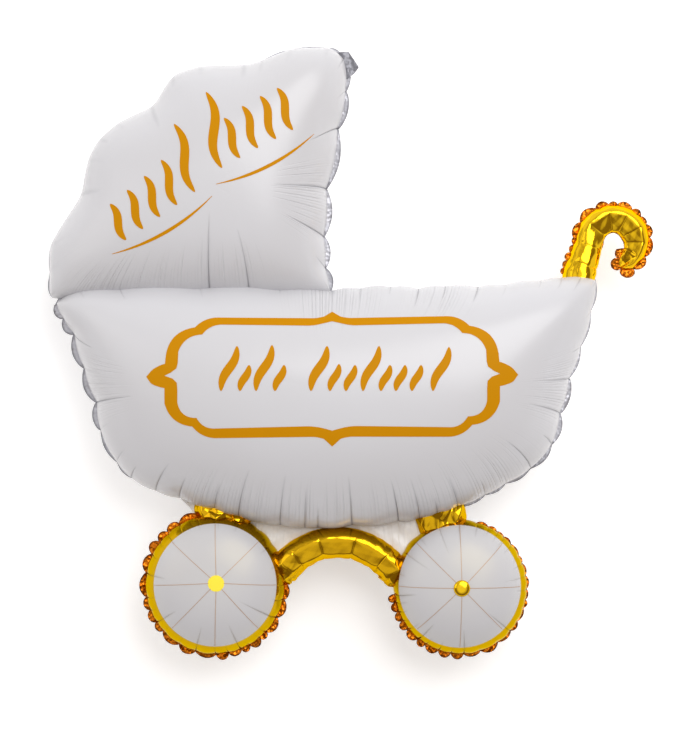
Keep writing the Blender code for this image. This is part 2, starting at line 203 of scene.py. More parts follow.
def chamber(pinches, steps, rise, middle, depth, folds, fineness=1.0, soft=None,
            guide=(0.5, 0.5), bend=0):
    """What is needed to find the height of a blown chamber anywhere inside its edge."""
    edge, lobes = lobed_edge(pinches, steps, rise, soft)
    shares = np.linspace(0, 0.9, 10)[:, None, None]
    trial = (middle + (edge[None, ::9] - middle) * shares).reshape(-1, 2)
    crown = mean_distance(trial, edge).max()
    return {"edge": edge, "lobes": lobes, "pinches": pinches, "middle": middle,
            "depth": depth, "crown": crown, "folds": folds, "fineness": fineness,
            "guide": np.array(guide), "bend": bend}


# %% [markdown]
# ## Folds
# A fold starts at a pinch and fades inwards. It is a sharp valley in the middle of a
# wide shallow one, which is why it shows as a thin dark line between soft shades. The
# shallow part is shaped here. The sharp part is finer than any mesh, so every point of
# the skin will carry its distance from the nearest pinch, and the shader cuts the line.
# Long folds lie where the photograph shows them, and all other pinches get a short one.

# %% Folds in the film
BODY_FOLDS_SEEN = (
    (132.6, 472, 136.8, 457), (156.5, 487, 162, 453), (180, 496.5, 184, 472),
    (215.4, 509, 218, 480), (238.6, 517, 246.3, 466), (280.5, 524, 285, 470),
    (305, 527.7, 308.4, 486), (318, 527.7, 319.6, 504), (352, 525, 349, 472),
    (398, 520.7, 393, 478), (419, 516.5, 415.7, 472), (437, 518, 434, 500),
    (457, 506.7, 454, 472), (517.8, 474, 503, 435), (551, 445, 540, 434),
    (568, 378, 546, 360), (559.6, 413, 530, 392), (75, 334, 96, 317),
    (97.5, 402, 132, 380), (418, 288, 422.4, 309), (478, 286, 482.7, 304),
)
HOOD_FOLDS_SEEN = (
    (211, 312, 202, 229), (251, 312, 247, 244), (338, 131, 310, 115), (327, 189, 280, 169),
    (324, 238, 286, 223), (82, 198, 106, 197), (99.4, 141.7, 110, 149),
    (154, 109, 175, 129), (173.5, 77.5, 181, 90), (247, 67, 252, 84),
)
VALLEY_DEPTH, VALLEY_WIDTH = 0.0026, 0.0085
SHORT_FOLD = 0.018


def fold_table(pinches, seen, seed, soft=None):
    """For each pinch, how far its fold runs in and how strong it is; weak where it is soft."""
    rng = np.random.default_rng(seed)
    length = SHORT_FOLD * rng.uniform(0.6, 1.5, len(pinches))
    strength = rng.uniform(0.25, 0.6, len(pinches))
    seen = np.array(seen, float)
    start, end = from_photo(seen[:, :2]), from_photo(seen[:, 2:])
    gaps = np.linalg.norm(pinches[None] - start[:, None], axis=2)
    nearest = gaps.argmin(axis=1)
    length[nearest] = np.linalg.norm(end - start, axis=1)
    strength[nearest] = rng.uniform(0.85, 1.0, len(nearest))
    if soft is not None:
        strength[soft] *= 0.4
    return length, strength


def guide_shares(points, room):
    """The guide's shares in length and height; with a bend they fade to a half sideways."""
    away = points - room["middle"]
    upright = (away[:, 1:] ** 2 / (away**2).sum(axis=1, keepdims=True)) ** room["bend"]
    return 0.5 + (room["guide"] - 0.5) * upright


def unit(vectors):
    """The same directions with a length of one."""
    return vectors / np.linalg.norm(vectors, axis=-1, keepdims=True)


def fold_ways(room):
    """Unit vectors along the folds: where the skin's columns leave each pinch."""
    pinches = room["pinches"]
    return unit((room["middle"] - pinches) * (1 - guide_shares(pinches, room)))


def valley_depth(points, room):
    """The sum over the folds of a bell across the fold times a square fading along it."""
    way = fold_ways(room)
    total = np.zeros(len(points))
    for (x, y), (ux, uy), reach, strength in zip(room["pinches"], way, *room["folds"]):
        dx, dy = points[:, 0] - x, points[:, 1] - y
        along = np.clip((dx * ux + dy * uy) / reach, 0, 1)
        across = np.hypot(dx - along * reach * ux, dy - along * reach * uy)
        bell = np.exp(-(across / VALLEY_WIDTH / room["fineness"]) ** 2)
        total += strength * bell * (1 - along) ** 2
    return total * VALLEY_DEPTH * room["fineness"]


def blown(points, room):
    """Half the depth times the root of the mean distance, less the valleys, never under 40%."""
    distance = np.maximum(mean_distance(points, room["edge"]), 0)
    height = room["depth"] / 2 * np.sqrt(distance / room["crown"])
    return height - np.minimum(valley_depth(points, room), 0.6 * height)


body_folds = fold_table(body_pinches, BODY_FOLDS_SEEN, 1)
hood_folds = fold_table(hood_pinches, HOOD_FOLDS_SEEN, 3, HOOD_SOFT)
print("longest folds:", [round(float(folds[0].max()), 3) for folds in (body_folds, hood_folds)])

# %% [markdown]
# ## Meshes from grids
# Every surface here is a grid: rows by columns of points. One helper turns such a grid
# into a mesh, joins its last column to the first where the surface closes on itself, and
# closes an end that narrows to a point with one shared corner.


# %% A grid becomes a mesh
def new_object(name, data):
    """An object in the scene from a mesh, a light or a camera."""
    obj = bpy.data.objects.new(name, data)
    bpy.context.scene.collection.objects.link(obj)
    return obj


def grid_mesh(name, grid, wrap_rows=False, wrap_columns=True, poles=(None, None), uv=None,
              marks=None):
    """Quads between neighbours of a grid, fans to the poles, a UV map and point attributes."""
    rows, columns = grid.shape[:2]
    points = [grid.reshape(-1, 3)]
    row = np.arange(rows if wrap_rows else rows - 1)[:, None]
    column = np.arange(columns if wrap_columns else columns - 1)[None, :]
    next_row, next_column = (row + 1) % rows, (column + 1) % columns
    quads = np.stack([row * columns + column, row * columns + next_column,
                      next_row * columns + next_column, next_row * columns + column], axis=2)
    quads = quads.reshape(-1, 4)
    fans = []
    ring = np.arange(columns)
    for pole, base, turned in zip(poles, (0, (rows - 1) * columns), (True, False)):
        if pole is None:
            continue
        tip = sum(len(block) for block in points)
        points.append(np.array(pole, float)[None])
        sides = (ring + base, (ring + 1) % columns + base)
        first, second = sides[::-1] if turned else sides
        fans.append(np.stack([first, second, np.full(columns, tip)], axis=1))
    fans = np.vstack(fans) if fans else np.empty((0, 3), int)
    mesh = bpy.data.meshes.new(name)
    points = np.vstack(points)
    mesh.vertices.add(len(points))
    mesh.vertices.foreach_set("co", points.astype(np.float32).ravel())
    corners = np.concatenate([quads.ravel(), fans.ravel()])
    sizes = np.concatenate([np.full(len(quads), 4), np.full(len(fans), 3)])
    mesh.loops.add(len(corners))
    mesh.loops.foreach_set("vertex_index", corners.astype(np.int32))
    mesh.polygons.add(len(sizes))
    starts = np.concatenate([[0], np.cumsum(sizes)[:-1]])
    mesh.polygons.foreach_set("loop_start", starts.astype(np.int32))
    mesh.update(calc_edges=True)
    if uv is not None:
        layer = mesh.uv_layers.new(name="seam_map")
        flat = np.vstack([uv[:rows, :columns].reshape(-1, 2),
                          np.zeros((len(points) - rows * columns, 2))])
        loops = flat[corners].reshape(-1, 2)
        loops[:quads.size] = wrapped_uv(uv, row, column, next_row)
        layer.data.foreach_set("uv", loops.astype(np.float32).ravel())
    for mark, values in (marks or {}).items():
        layer = mesh.attributes.new(mark, "FLOAT", "POINT")
        filled = np.zeros(len(points), np.float32)
        filled[:values.size] = values.ravel()
        layer.data.foreach_set("value", filled)
    mesh.validate()
    mesh.shade_smooth()
    return new_object(name, mesh)


def end_middles(grid):
    """The middles of a grid's first and last row, where fans close it."""
    return grid[0].mean(axis=0), grid[-1].mean(axis=0)


def wrapped_uv(uv, row, column, next_row):
    """The UV of each quad's corners, with one more column than the grid for the last quads."""
    after = column + 1
    below = row + 1 if len(uv) > row.size else next_row
    corners = [uv[row, column], uv[row, after], uv[below, after], uv[below, column]]
    return np.stack(corners, axis=2).reshape(-1, 2)


def dressed(obj, material):
    """Gives a piece its material and its place on the balloon."""
    obj.data.materials.append(material)
    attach(obj, "root")
    return obj


def triangles(obj):
    return sum(len(face.vertices) - 2 for face in obj.data.polygons)


# %% [markdown]
# ## Shared effects
# Foil is never quite smooth. Fine pleats run inwards from the seam, side by side, each
# fold has a sharp line at its bottom, and a faint crumple lies over everything. They are
# too fine for the mesh, so each is a shader group, and every material sets its own
# strength. The pleats follow the piece's own map, where one axis runs along the seam and
# the other inwards. The sharp lines follow marks that the skin's points carry.


# %% Nodes and their inputs
def put_in(tree, socket, value):
    """A link from another node's output, a colour or a number."""
    if isinstance(value, bpy.types.NodeSocket):
        tree.links.new(value, socket)
    else:
        socket.default_value = (*value, 1) if isinstance(value, tuple) else value


def add_node(tree, kind, settings=None, **values):
    """A node with its settings and its inputs; an underscore stands for a space."""
    node = tree.nodes.new(kind)
    for key, value in (settings or {}).items():
        setattr(node, key, value)
    for key, value in values.items():
        put_in(tree, node.inputs[key.replace("_", " ")], value)
    return node


def math_node(tree, operation, *numbers):
    """A Math node on links or plain numbers."""
    node = add_node(tree, "ShaderNodeMath", {"operation": operation})
    for socket, value in zip(node.inputs, numbers):
        put_in(tree, socket, value)
    return node.outputs[0]


def attribute(tree, name):
    return add_node(tree, "ShaderNodeAttribute", {"attribute_name": name}).outputs["Fac"]


def object_place(tree):
    return add_node(tree, "ShaderNodeTexCoord").outputs["Object"]


def seam_place(tree):
    """The two numbers of a piece's own map: along the seam, and inwards from it."""
    place = add_node(tree, "ShaderNodeUVMap", {"uv_map": "seam_map"}).outputs[0]
    return add_node(tree, "ShaderNodeSeparateXYZ", Vector=place).outputs


# %% Shader groups for pleats, folds and crumple
def group(name, inputs, outputs):
    """An empty group with named number sockets, its entry and its way out."""
    tree = bpy.data.node_groups.new(name, "ShaderNodeTree")
    for label, value in inputs.items():
        socket = tree.interface.new_socket(label, in_out="INPUT", socket_type="NodeSocketFloat")
        socket.default_value = value
    for label in outputs:
        tree.interface.new_socket(label, in_out="OUTPUT", socket_type="NodeSocketFloat")
    return tree, tree.nodes.new("NodeGroupInput").outputs, tree.nodes.new("NodeGroupOutput")


def valley_out(tree, leave, mask):
    """A group's two outputs: the mask of the line, and a height that drops by it."""
    put_in(tree, leave.inputs["Height"], math_node(tree, "SUBTRACT", 1.0, mask))
    put_in(tree, leave.inputs["Mask"], mask)


def pleat_group():
    """Narrow lines at even places along the seam, each with its own depth and length."""
    tree, given, leave = group("fine_pleats", {"Pitch": 0.004, "Length": 0.05},
                               ("Height", "Mask"))

    def calc(operation, *numbers):
        return math_node(tree, operation, *numbers)

    seam = seam_place(tree)
    wander = add_node(tree, "ShaderNodeTexNoise", {"noise_dimensions": "1D"}, W=seam[0], Scale=120.0)
    along = calc("DIVIDE", seam[0], given["Pitch"])
    along = calc("ADD", along, calc("MULTIPLY", wander.outputs["Fac"], 1.3))
    number = calc("FLOOR", along)
    dice = add_node(tree, "ShaderNodeTexWhiteNoise", {"noise_dimensions": "1D"}, W=number)
    chance = dice.outputs["Value"]
    from_line = calc("ABSOLUTE", calc("SUBTRACT", calc("SUBTRACT", along, number), 0.5))
    valley = calc("MAXIMUM", calc("SUBTRACT", 1.0, calc("MULTIPLY", from_line, 3.2)), 0.0)
    length = calc("MULTIPLY", given["Length"], calc("ADD", 0.45, calc("MULTIPLY", chance, 0.55)))
    left_over = calc("SUBTRACT", 1.0, calc("DIVIDE", seam[1], length))
    fade = calc("MAXIMUM", calc("MINIMUM", left_over, 0.5), 0.0)
    deep = calc("MULTIPLY", calc("MULTIPLY", valley, fade), calc("ADD", chance, 0.35))
    valley_out(tree, leave, calc("MULTIPLY", deep, attribute(tree, "pleats")))
    return tree


def fold_group():
    """A sharp valley where the distance from a pinch is nil, as deep as the fold's mark."""
    tree, given, leave = group("sharp_folds", {"Width": 0.0010}, ("Height", "Mask"))
    wander = add_node(tree, "ShaderNodeTexNoise", Vector=object_place(tree), Scale=55.0, Detail=1.0)
    share = math_node(tree, "ADD", wander.outputs["Fac"], 0.4)
    uneven = math_node(tree, "MULTIPLY", share, given["Width"])
    far = math_node(tree, "DIVIDE", attribute(tree, "from_pinch"), uneven)
    narrow = math_node(tree, "POWER", 2.718, math_node(tree, "MULTIPLY", far, -1.0))
    valley_out(tree, leave, math_node(tree, "MULTIPLY", narrow, attribute(tree, "fold")))
    return tree


def crumple_group():
    """Soft cell ridges plus slow noise, both read from the place on the object."""
    tree, given, leave = group("foil_crumple", {"Cell Scale": 60.0, "Cells": 0.3}, ("Height",))
    place = object_place(tree)
    cells = add_node(tree, "ShaderNodeTexVoronoi", {"feature": "SMOOTH_F1"}, Vector=place,
                     Scale=given["Cell Scale"], Smoothness=0.4)
    slow = add_node(tree, "ShaderNodeTexNoise", Vector=place, Scale=14.0, Detail=3.0, Roughness=0.55)
    fine = math_node(tree, "MULTIPLY", cells.outputs["Distance"], given["Cells"])
    put_in(tree, leave.inputs["Height"], math_node(tree, "ADD", fine, slow.outputs["Fac"]))
    return tree


PLEATS, CRUMPLE, FOLDS = pleat_group(), crumple_group(), fold_group()
print("groups:", PLEATS.name, CRUMPLE.name, FOLDS.name)


# %% How a material uses them
def placed(tree, shared, **values):
    return add_node(tree, "ShaderNodeGroup", {"node_tree": shared}, **values)


def bumped(tree, shader, heights):
    """Chains Bump nodes: each item is a placed group, its strength and its depth in metres."""
    last = {}
    for shared, strength, depth in heights:
        bump = add_node(tree, "ShaderNodeBump", Height=shared.outputs["Height"],
                        Strength=strength, Distance=depth, **last)
        last = {"Normal": bump.outputs["Normal"]}
    put_in(tree, shader.inputs["Normal"], last["Normal"])


def mixed(tree, factor, first, second):
    """The first colour where the factor is nil, the second where it is one."""
    mix = add_node(tree, "ShaderNodeMix", {"data_type": "RGBA"}, Factor=factor, A=first, B=second)
    return mix.outputs["Result"]


def moved_to(tree, color, mask, amount, other):
    """The colour moved towards another by the mask times an amount."""
    return mixed(tree, math_node(tree, "MULTIPLY", mask, amount), color, other)


def mottled(tree, first, second, scale):
    """A colour that wanders slowly between two close shades over the object."""
    noise = add_node(tree, "ShaderNodeTexNoise", Vector=object_place(tree), Scale=scale, Detail=3.0)
    return mixed(tree, noise.outputs["Fac"], first, second)


def new_material(name, **values):
    """A material, its nodes and its shader, with the shader's inputs as given."""
    material = bpy.data.materials.new(name)
    material.use_nodes = True
    tree = material.node_tree
    shader = tree.nodes["Principled BSDF"]
    for key, value in values.items():
        put_in(tree, shader.inputs[key.replace("_", " ")], value)
    return material, tree, shader


def mapped(tree, value, **limits):
    """A Map Range node: the value between two limits becomes a number between two others."""
    return add_node(tree, "ShaderNodeMapRange", Value=value, **limits).outputs["Result"]


print("helpers for materials ready")

# %% [markdown]
# ## White film
# The body, the hood and the wheel discs are foil printed all over with white ink. The
# ink hides the metal but keeps a soft gloss, so this is a plain glossy plastic with a
# little unevenness in its tone, and no metal at all.

# %% Materials: white film
WHITE = (0.605, 0.606, 0.637)
WHITE_SHADE = (0.566, 0.558, 0.573)
FOLD_SHADE = (0.13, 0.13, 0.16)


def white_film():
    material, tree, shader = new_material("white_film", Roughness=0.26, Specular_IOR_Level=0.48)
    pleats = placed(tree, PLEATS, Pitch=0.0046, Length=0.085)
    folds = placed(tree, FOLDS, Width=0.0011)
    crumple = placed(tree, CRUMPLE, Cell_Scale=30.0, Cells=0.15)
    film = mottled(tree, WHITE, WHITE_SHADE, 5.0)
    film = moved_to(tree, film, pleats.outputs["Mask"], 0.16, FOLD_SHADE)
    film = moved_to(tree, film, folds.outputs["Mask"], 0.75, FOLD_SHADE)
    put_in(tree, shader.inputs["Base Color"], film)
    bumped(tree, shader, [(crumple, 0.25, 0.0016), (pleats, 0.8, 0.0010), (folds, 1.0, 0.0016)])
    return material


WHITE_FILM = white_film()
print("white film ready")

# %% [markdown]
# ## The body
# The boat-shaped body is the largest chamber. Its skin is one closed sheet: rows run
# from the middle of the back, out to the seam and over the front to its middle. The
# rows shrink faster in height than in length, so that the columns leave the long edges
# nearly at a right angle, as the folds do. A count of the quads that are turned over
# shows whether the columns cross. The floor presses the back flat.

# %% The body's skin
LOBE_STEPS = 18
FRONT_ROWS, BACK_ROWS = 58, 32
EVEN_PLEATS = 0.25
FLOOR_LEVEL = float(low[2])
BODY_GUIDE, HOOD_GUIDE = (0.85, 0.30), (0.92, 0.28)


def distances(line):
    """How far along a line each of its points lies."""
    return np.concatenate([[0], np.cumsum(np.linalg.norm(np.diff(line, axis=0), axis=1))])


def arc_lengths(edge):
    """The same along a closed edge, with its whole length at the end."""
    return distances(np.vstack([edge, edge[:1]]))


def skin_rows(room, count):
    """Plans of the rows: from the seam inwards along the folds, then bending to the middle.

    Each column is a parabola from the edge to the middle. Its guide is the edge drawn
    to the middle, by one share in length and another in height. The rows stand at
    shares 1 - cos(turn)^(2/3) of it.
    """
    edge, middle = room["edge"], room["middle"]
    turns = np.linspace(0, np.pi / 2, count + 1)[1:-1]
    step = (1 - np.cos(turns) ** (2 / 3))[:, None, None]
    guide = middle + (edge - middle) * guide_shares(edge, room)
    return edge * (1 - step) ** 2 + guide * 2 * step * (1 - step) + middle * step**2


def crossed(plan):
    """How many quads of a plan are turned over, which should be none."""
    first = plan[1:, :] - plan[:-1, :]
    second = np.roll(plan, -1, axis=1)[:-1] - plan[:-1]
    return int((first[..., 0] * second[..., 1] - first[..., 1] * second[..., 0] > 0).sum())


def pillow(name, room, front_rows, back_rows, pleats=None):
    """Two skins over one edge: the blown height above the seam and the same below it."""
    front, back = skin_rows(room, front_rows), skin_rows(room, back_rows)
    print(name, "quads turned over:", crossed(front))
    up = blown(front.reshape(-1, 2), room).reshape(front.shape[:2])
    down = blown(back.reshape(-1, 2), room).reshape(back.shape[:2])
    top, under = blown(np.array([room["middle"]] * 2), room)
    edge = np.column_stack([room["edge"], np.full(len(room["edge"]), SEAM_LEVEL)])
    upper = np.dstack([front, SEAM_LEVEL + up])
    lower = np.dstack([back, np.maximum(SEAM_LEVEL - down, FLOOR_LEVEL)])[::-1]
    grid = np.concatenate([lower, edge[None], upper])
    length = arc_lengths(room["edge"])
    inward = np.linalg.norm(grid[..., :2] - room["edge"], axis=2)
    inward_wrapped = np.hstack([inward, inward[:, :1]])
    uv = np.dstack([np.broadcast_to(length, inward_wrapped.shape), inward_wrapped])
    mark = np.full(grid.shape[:2], EVEN_PLEATS) if pleats is None else pleats(grid[..., :2])
    marks = {"pleats": mark, **fold_marks(room, inward)}
    middle = room["middle"]
    poles = ((*middle, max(SEAM_LEVEL - under, FLOOR_LEVEL)), (*middle, SEAM_LEVEL + top))
    return grid_mesh(name, grid, poles=poles, uv=uv, marks=marks)


def fold_marks(room, inward):
    """Distance along the edge from the nearest pinch, and how deep that pinch's fold is."""
    steps = len(room["edge"]) // len(room["pinches"])
    chord = np.linalg.norm(np.roll(room["pinches"], -1, axis=0) - room["pinches"], axis=1)
    from_pinch = np.minimum(room["lobes"], 1 - room["lobes"]) * np.repeat(chord, steps)
    pinch = (np.repeat(np.arange(len(chord)), steps) + (room["lobes"] > 0.5)) % len(chord)
    reach, strength = (values[pinch] for values in room["folds"])
    left_over = np.clip(1 - inward / reach, 0, 1)
    return {"from_pinch": np.broadcast_to(from_pinch, inward.shape),
            "fold": strength * left_over ** 0.7}


def patches(places, radius):
    """A mask that is one near the given places of the photograph and fades away from them."""
    spots = from_photo(places)

    def mask(plan):
        total = np.zeros(plan.shape[:2])
        for spot in spots:
            total += np.exp(-((plan - spot) ** 2).sum(axis=2) / radius**2)
        return np.clip(0.04 + total, 0, 1.1)
    return mask


BODY_PLEATS_SEEN = ((215, 495), (255, 500), (300, 500), (340, 500), (385, 500), (430, 492),
                    (490, 468), (550, 388), (105, 385), (318, 300), (345, 300), (440, 296))
body_middle = scaled([BODY_MIDDLE], BODY_LENGTH, BODY_HEIGHT, CORNER)[0]
body_room = chamber(body_pinches, LOBE_STEPS, LOBE_RISE, body_middle, BODY_DEPTH, body_folds,
                    guide=BODY_GUIDE)
body = pillow("body_foil", body_room, FRONT_ROWS, BACK_ROWS, patches(BODY_PLEATS_SEEN, 0.034))
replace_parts(dressed(body, WHITE_FILM), "balloon")
print("body:", triangles(body), "triangles")

# %% [markdown]
# ## The hood
# The hood is a second chamber, made the same way. Its columns stand upright above its
# lower edge and run straight to the middle from its sides. Its lower edge dips below
# the body's upper edge, so the two bulges meet in a tight crease, as they do where the
# films are welded together between two chambers.

# %% The hood's skin
HOOD_PLEATS_SEEN = ((100, 282), (130, 275), (165, 268), (205, 260), (240, 262), (298, 188),
                    (296, 208))
hood_middle = scaled([HOOD_MIDDLE], HOOD_WIDTH, HOOD_HEIGHT, hood_corner)[0]
hood_room = chamber(hood_pinches, LOBE_STEPS, HOOD_RISES, hood_middle, HOOD_DEPTH, hood_folds,
                    soft=HOOD_SOFT, guide=HOOD_GUIDE, bend=1)
hood = pillow("hood_foil", hood_room, FRONT_ROWS, BACK_ROWS, patches(HOOD_PLEATS_SEEN, 0.030))
dressed(hood, WHITE_FILM)
print("hood:", triangles(hood), "triangles")

# %% [markdown]
# ## Gold film
# The rims, the necks, the arch and the handle are the same foil, printed with a clear
# yellow ink. The metal shows through it, so this is a real metal, tinted yellow, that
# mirrors the room: bright where it faces a light and brown where it faces a dark wall.
# The arch and the necks, which lie close under the body, get a deeper yellow: a darker copy of the
# gold, as painted shade.

# %% Materials: gold film
GOLD = (0.90, 0.60, 0.018)
GOLD_DEEP = (0.80, 0.42, 0.006)
SHADED_GOLD, SHADED_GOLD_DEEP = (0.76, 0.47, 0.012), (0.56, 0.28, 0.004)
# painted shade: the wheels' gold and white are darker copies of the gold film and the white film
SHADED_WHEEL_GOLD, SHADED_WHEEL_GOLD_DEEP = (0.57, 0.38, 0.010), (0.46, 0.25, 0.005)
SHADED_DISC_WHITE, SHADED_DISC_WHITE_DEEP = (0.565, 0.566, 0.598), (0.530, 0.522, 0.537)
SEAM_GOLD = (0.76, 0.24, 0.006)
SEAM_GOLD_DEEP = (0.42, 0.08, 0.003)
SEAM_GOLD_PAINTED_SHADE = (0.07, 0.012, 0.002)


def gold_film(name, light, deep, roughness, crumple_depth):
    material, tree, shader = new_material(name, Metallic=1.0, Roughness=roughness,
                                          Specular_Tint=(1.0, 0.78, 0.15))
    put_in(tree, shader.inputs["Base Color"], mottled(tree, light, deep, 9.0))
    crumple = placed(tree, CRUMPLE, Cell_Scale=70.0, Cells=0.5)
    bumped(tree, shader, [(crumple, 0.5, crumple_depth)])
    return material


GOLD_FILM = gold_film("gold_film", GOLD, GOLD_DEEP, 0.14, 0.0012)
SHADED_GOLD_FILM = gold_film("shaded_gold_film", SHADED_GOLD, SHADED_GOLD_DEEP, 0.15, 0.0014)
print("gold film ready")

# %% [markdown]
# ## The wheels
# Each wheel is a round chamber with a gold rim and a white disc printed in its middle; both colours
# are darker copies of the gold and the white film, as painted shade.
# One material serves both: every point of the mesh carries how far it lies past the
# disc's edge, and the colour changes from white ink to bare gold where that is nil. The
# rim gathers into many small lobes, with a short fold at each pinch and a longer one
# where the photograph shows it.

# %% The wheels' skins
PRINT_SOFTNESS = 0.0004
WHEEL_LOBE_STEPS, WHEEL_LOBE_RISE = 14, 0.10
WHEEL_FRONT_ROWS, WHEEL_BACK_ROWS = 52, 26
# degrees of the pinches around each wheel, anticlockwise from its right-hand side
LEFT_PINCHES = (0, 17, 35, 52, 69, 86, 104, 121, 133, 143, 155, 170.8, 191, 202, 213, 222,
                239, 253.7, 270.5, 281, 291.8, 299.3, 309.7, 316.5, 331.4, 347)
RIGHT_PINCHES = (-2, 10, 21, 28, 40, 49, 56.3, 65, 75.5, 92, 110, 129, 148, 167, 186.4,
                 193.7, 202, 210.5, 219, 231, 239, 251, 262, 273, 287.5, 304.5, 319, 329,
                 341.5, 349)
# degrees and length in metres of the folds that run into the disc
LEFT_WHEEL_FOLDS = ((170.8, 0.027), (213, 0.033), (253.7, 0.037), (291.8, 0.038), (331.4, 0.052),
                    (69, 0.016), (104, 0.016), (35, 0.018))
RIGHT_WHEEL_FOLDS = ((110, 0.040), (148, 0.040), (273, 0.036), (319, 0.042), (10, 0.033),
                     (186.4, 0.028), (231, 0.030), (92, 0.030))
# seen in the photograph: centre and radius of the white disc, and the hub
LEFT_DISC, RIGHT_DISC = (215.3, 584.7, 61.3), (459.7, 586.3, 61.0)
LEFT_HUB, RIGHT_HUB = (216.0, 583.5), (461.9, 588.4)


def wheel_film():
    """White inside the disc's edge and gold outside, blended over less than a millimetre."""
    material, tree, shader = new_material("wheel_film", Specular_Tint=(1.0, 0.86, 0.40))
    gold = mapped(tree, attribute(tree, "past_disc"),
                  From_Min=-PRINT_SOFTNESS, From_Max=PRINT_SOFTNESS)
    folds = placed(tree, FOLDS, Width=0.0010)
    # painted shade: the disc and the rim take the darker copies of the white and the gold
    film = mixed(tree, gold, mottled(tree, SHADED_DISC_WHITE, SHADED_DISC_WHITE_DEEP, 12.0),
                 mottled(tree, SHADED_WHEEL_GOLD, SHADED_WHEEL_GOLD_DEEP, 14.0))
    # painted shade: the fold lines darken the disc and the rim
    film = moved_to(tree, film, folds.outputs["Mask"], 0.7, (0.12, 0.09, 0.05))
    put_in(tree, shader.inputs["Base Color"], film)
    put_in(tree, shader.inputs["Metallic"], gold)
    put_in(tree, shader.inputs["Roughness"], mapped(tree, gold, To_Min=0.33, To_Max=0.16))
    pleats = placed(tree, PLEATS, Pitch=0.0036, Length=0.040)
    crumple = placed(tree, CRUMPLE, Cell_Scale=30.0, Cells=0.2)
    bumped(tree, shader, [(crumple, 0.3, 0.0016), (pleats, 0.2, 0.0008), (folds, 0.9, 0.0012)])
    return material


def underside_at(x):
    """Height of the body's lower edge at x."""
    right_end = int(body_pinches[:, 0].argmax())
    lower = body_pinches[:right_end + 1]
    return np.interp(x, lower[:, 0], lower[:, 1])


def wheel_centre(x, radius, gap):
    return np.array([x, underside_at(x) - gap - radius])


def ring_points(centre, radius, angles):
    return centre + radius * np.stack([np.cos(angles), np.sin(angles)], axis=-1)


def wheel_room(centre, radius, angles, long_folds, disc, seed):
    """A round chamber with its pinches at uneven angles and a fold at each of them."""
    rng = np.random.default_rng(seed)
    length = rng.uniform(0.010, 0.018, len(angles))
    strength = rng.uniform(0.3, 0.8, len(angles))
    for angle, reach in long_folds:
        nearest = np.abs(np.array(angles) - angle).argmin()
        length[nearest], strength[nearest] = reach, 1.0 if angle > 165 else 0.5
    angles = np.radians(angles)
    room = chamber(ring_points(centre, radius, angles), WHEEL_LOBE_STEPS, WHEEL_LOBE_RISE,
                   centre, WHEEL_DEPTH, (length, strength), 0.6)
    room["disc"] = on_film(np.array([disc[:2]]), room, rim_height)[0]
    room["disc_radius"] = disc[2] * METRES_A_PIXEL * (1 - rim_height / CAMERA_DISTANCE)
    return room


def on_film(pixels, room, height=None):
    """Plan of places seen on a raised film: moved to the eye's foot by height over distance."""
    seen = from_photo(pixels)
    plan = seen
    for _ in range(3):
        rise = height
        if height is None:
            rise = blown(plan.reshape(-1, 2), room).reshape(plan.shape[:-1])[..., None]
        plan = PHOTO_MIDDLE + (seen - PHOTO_MIDDLE) * (1 - rise / CAMERA_DISTANCE)
    return plan


def wheel(name, room):
    obj = pillow(name, room, WHEEL_FRONT_ROWS, WHEEL_BACK_ROWS)
    places = np.empty(len(obj.data.vertices) * 3, np.float32)
    obj.data.vertices.foreach_get("co", places)
    from_disc = np.linalg.norm(places.reshape(-1, 3)[:, :2] - room["disc"], axis=1)
    mark = obj.data.attributes.new("past_disc", "FLOAT", "POINT")
    mark.data.foreach_set("value", (from_disc - room["disc_radius"]).astype(np.float32))
    return dressed(obj, WHEEL_FILM)


WHEEL_FILM = wheel_film()
# at the disc's edge the film lies half as high over the seam as in the wheel's middle
rim_height = 0.5 * WHEEL_DEPTH / 2
left_x = CORNER[0] + WHEEL_INSET
right_x = left_x + WHEEL_SPACING
LEFT_WHEEL = wheel_centre(left_x, LEFT_WHEEL_RADIUS, LEFT_WHEEL_GAP)
RIGHT_WHEEL = wheel_centre(right_x, RIGHT_WHEEL_RADIUS, RIGHT_WHEEL_GAP)
left_room = wheel_room(LEFT_WHEEL, LEFT_WHEEL_RADIUS, LEFT_PINCHES, LEFT_WHEEL_FOLDS, LEFT_DISC, 11)
right_room = wheel_room(RIGHT_WHEEL, RIGHT_WHEEL_RADIUS, RIGHT_PINCHES, RIGHT_WHEEL_FOLDS,
                        RIGHT_DISC, 21)
left_wheel = wheel("left_wheel_foil", left_room)
right_wheel = wheel("right_wheel_foil", right_room)
print("wheels:", triangles(left_wheel), "and", triangles(right_wheel), "triangles")

# %% [markdown]
# ## Crumpled tubes
# A blown tube of foil can't bend smoothly, because its inner side gets too long. It
# kinks at a row of stations instead and stays nearly straight between them. So each
# ring of the tube is a blend of a smooth bend and of the straight line between its two
# stations. The outer side stays smooth up to a ridge. From there to the inner line the
# film is stretched into flat facets, and a fine crumple breaks up the reflections.

# %% Tubes with kinks
TUBE_SIDES, TUBE_ROWS = 100, 280
STATION_HALF_WIDTH, CRUMPLE_SIZE = 0.0007, 0.011
# how far the film is drawn in at a station, as a share of the radius, and over what length
PINCH_DEPTH, PINCH_LENGTH = 0.035, 0.0014
# in radians round the tube: where the kink sets in, and where it eases past the inner line
RIDGE_BLEND, INNER_BLEND = 0.16, 0.3


def normals_of(line):
    """The direction to the left of a line at each of its points."""
    along = unit(np.gradient(line, axis=0))
    return np.stack([-along[:, 1], along[:, 0]], axis=1)


def looked_up(at, along, points):
    """Points of a line at the given distances along it."""
    return np.stack([np.interp(at, along, points[:, axis]) for axis in (0, 1)], axis=1)


def from_outer_side(angles):
    """How far round the tube an angle lies from the outer side, either way."""
    return np.abs((angles + np.pi) % (2 * np.pi) - np.pi)


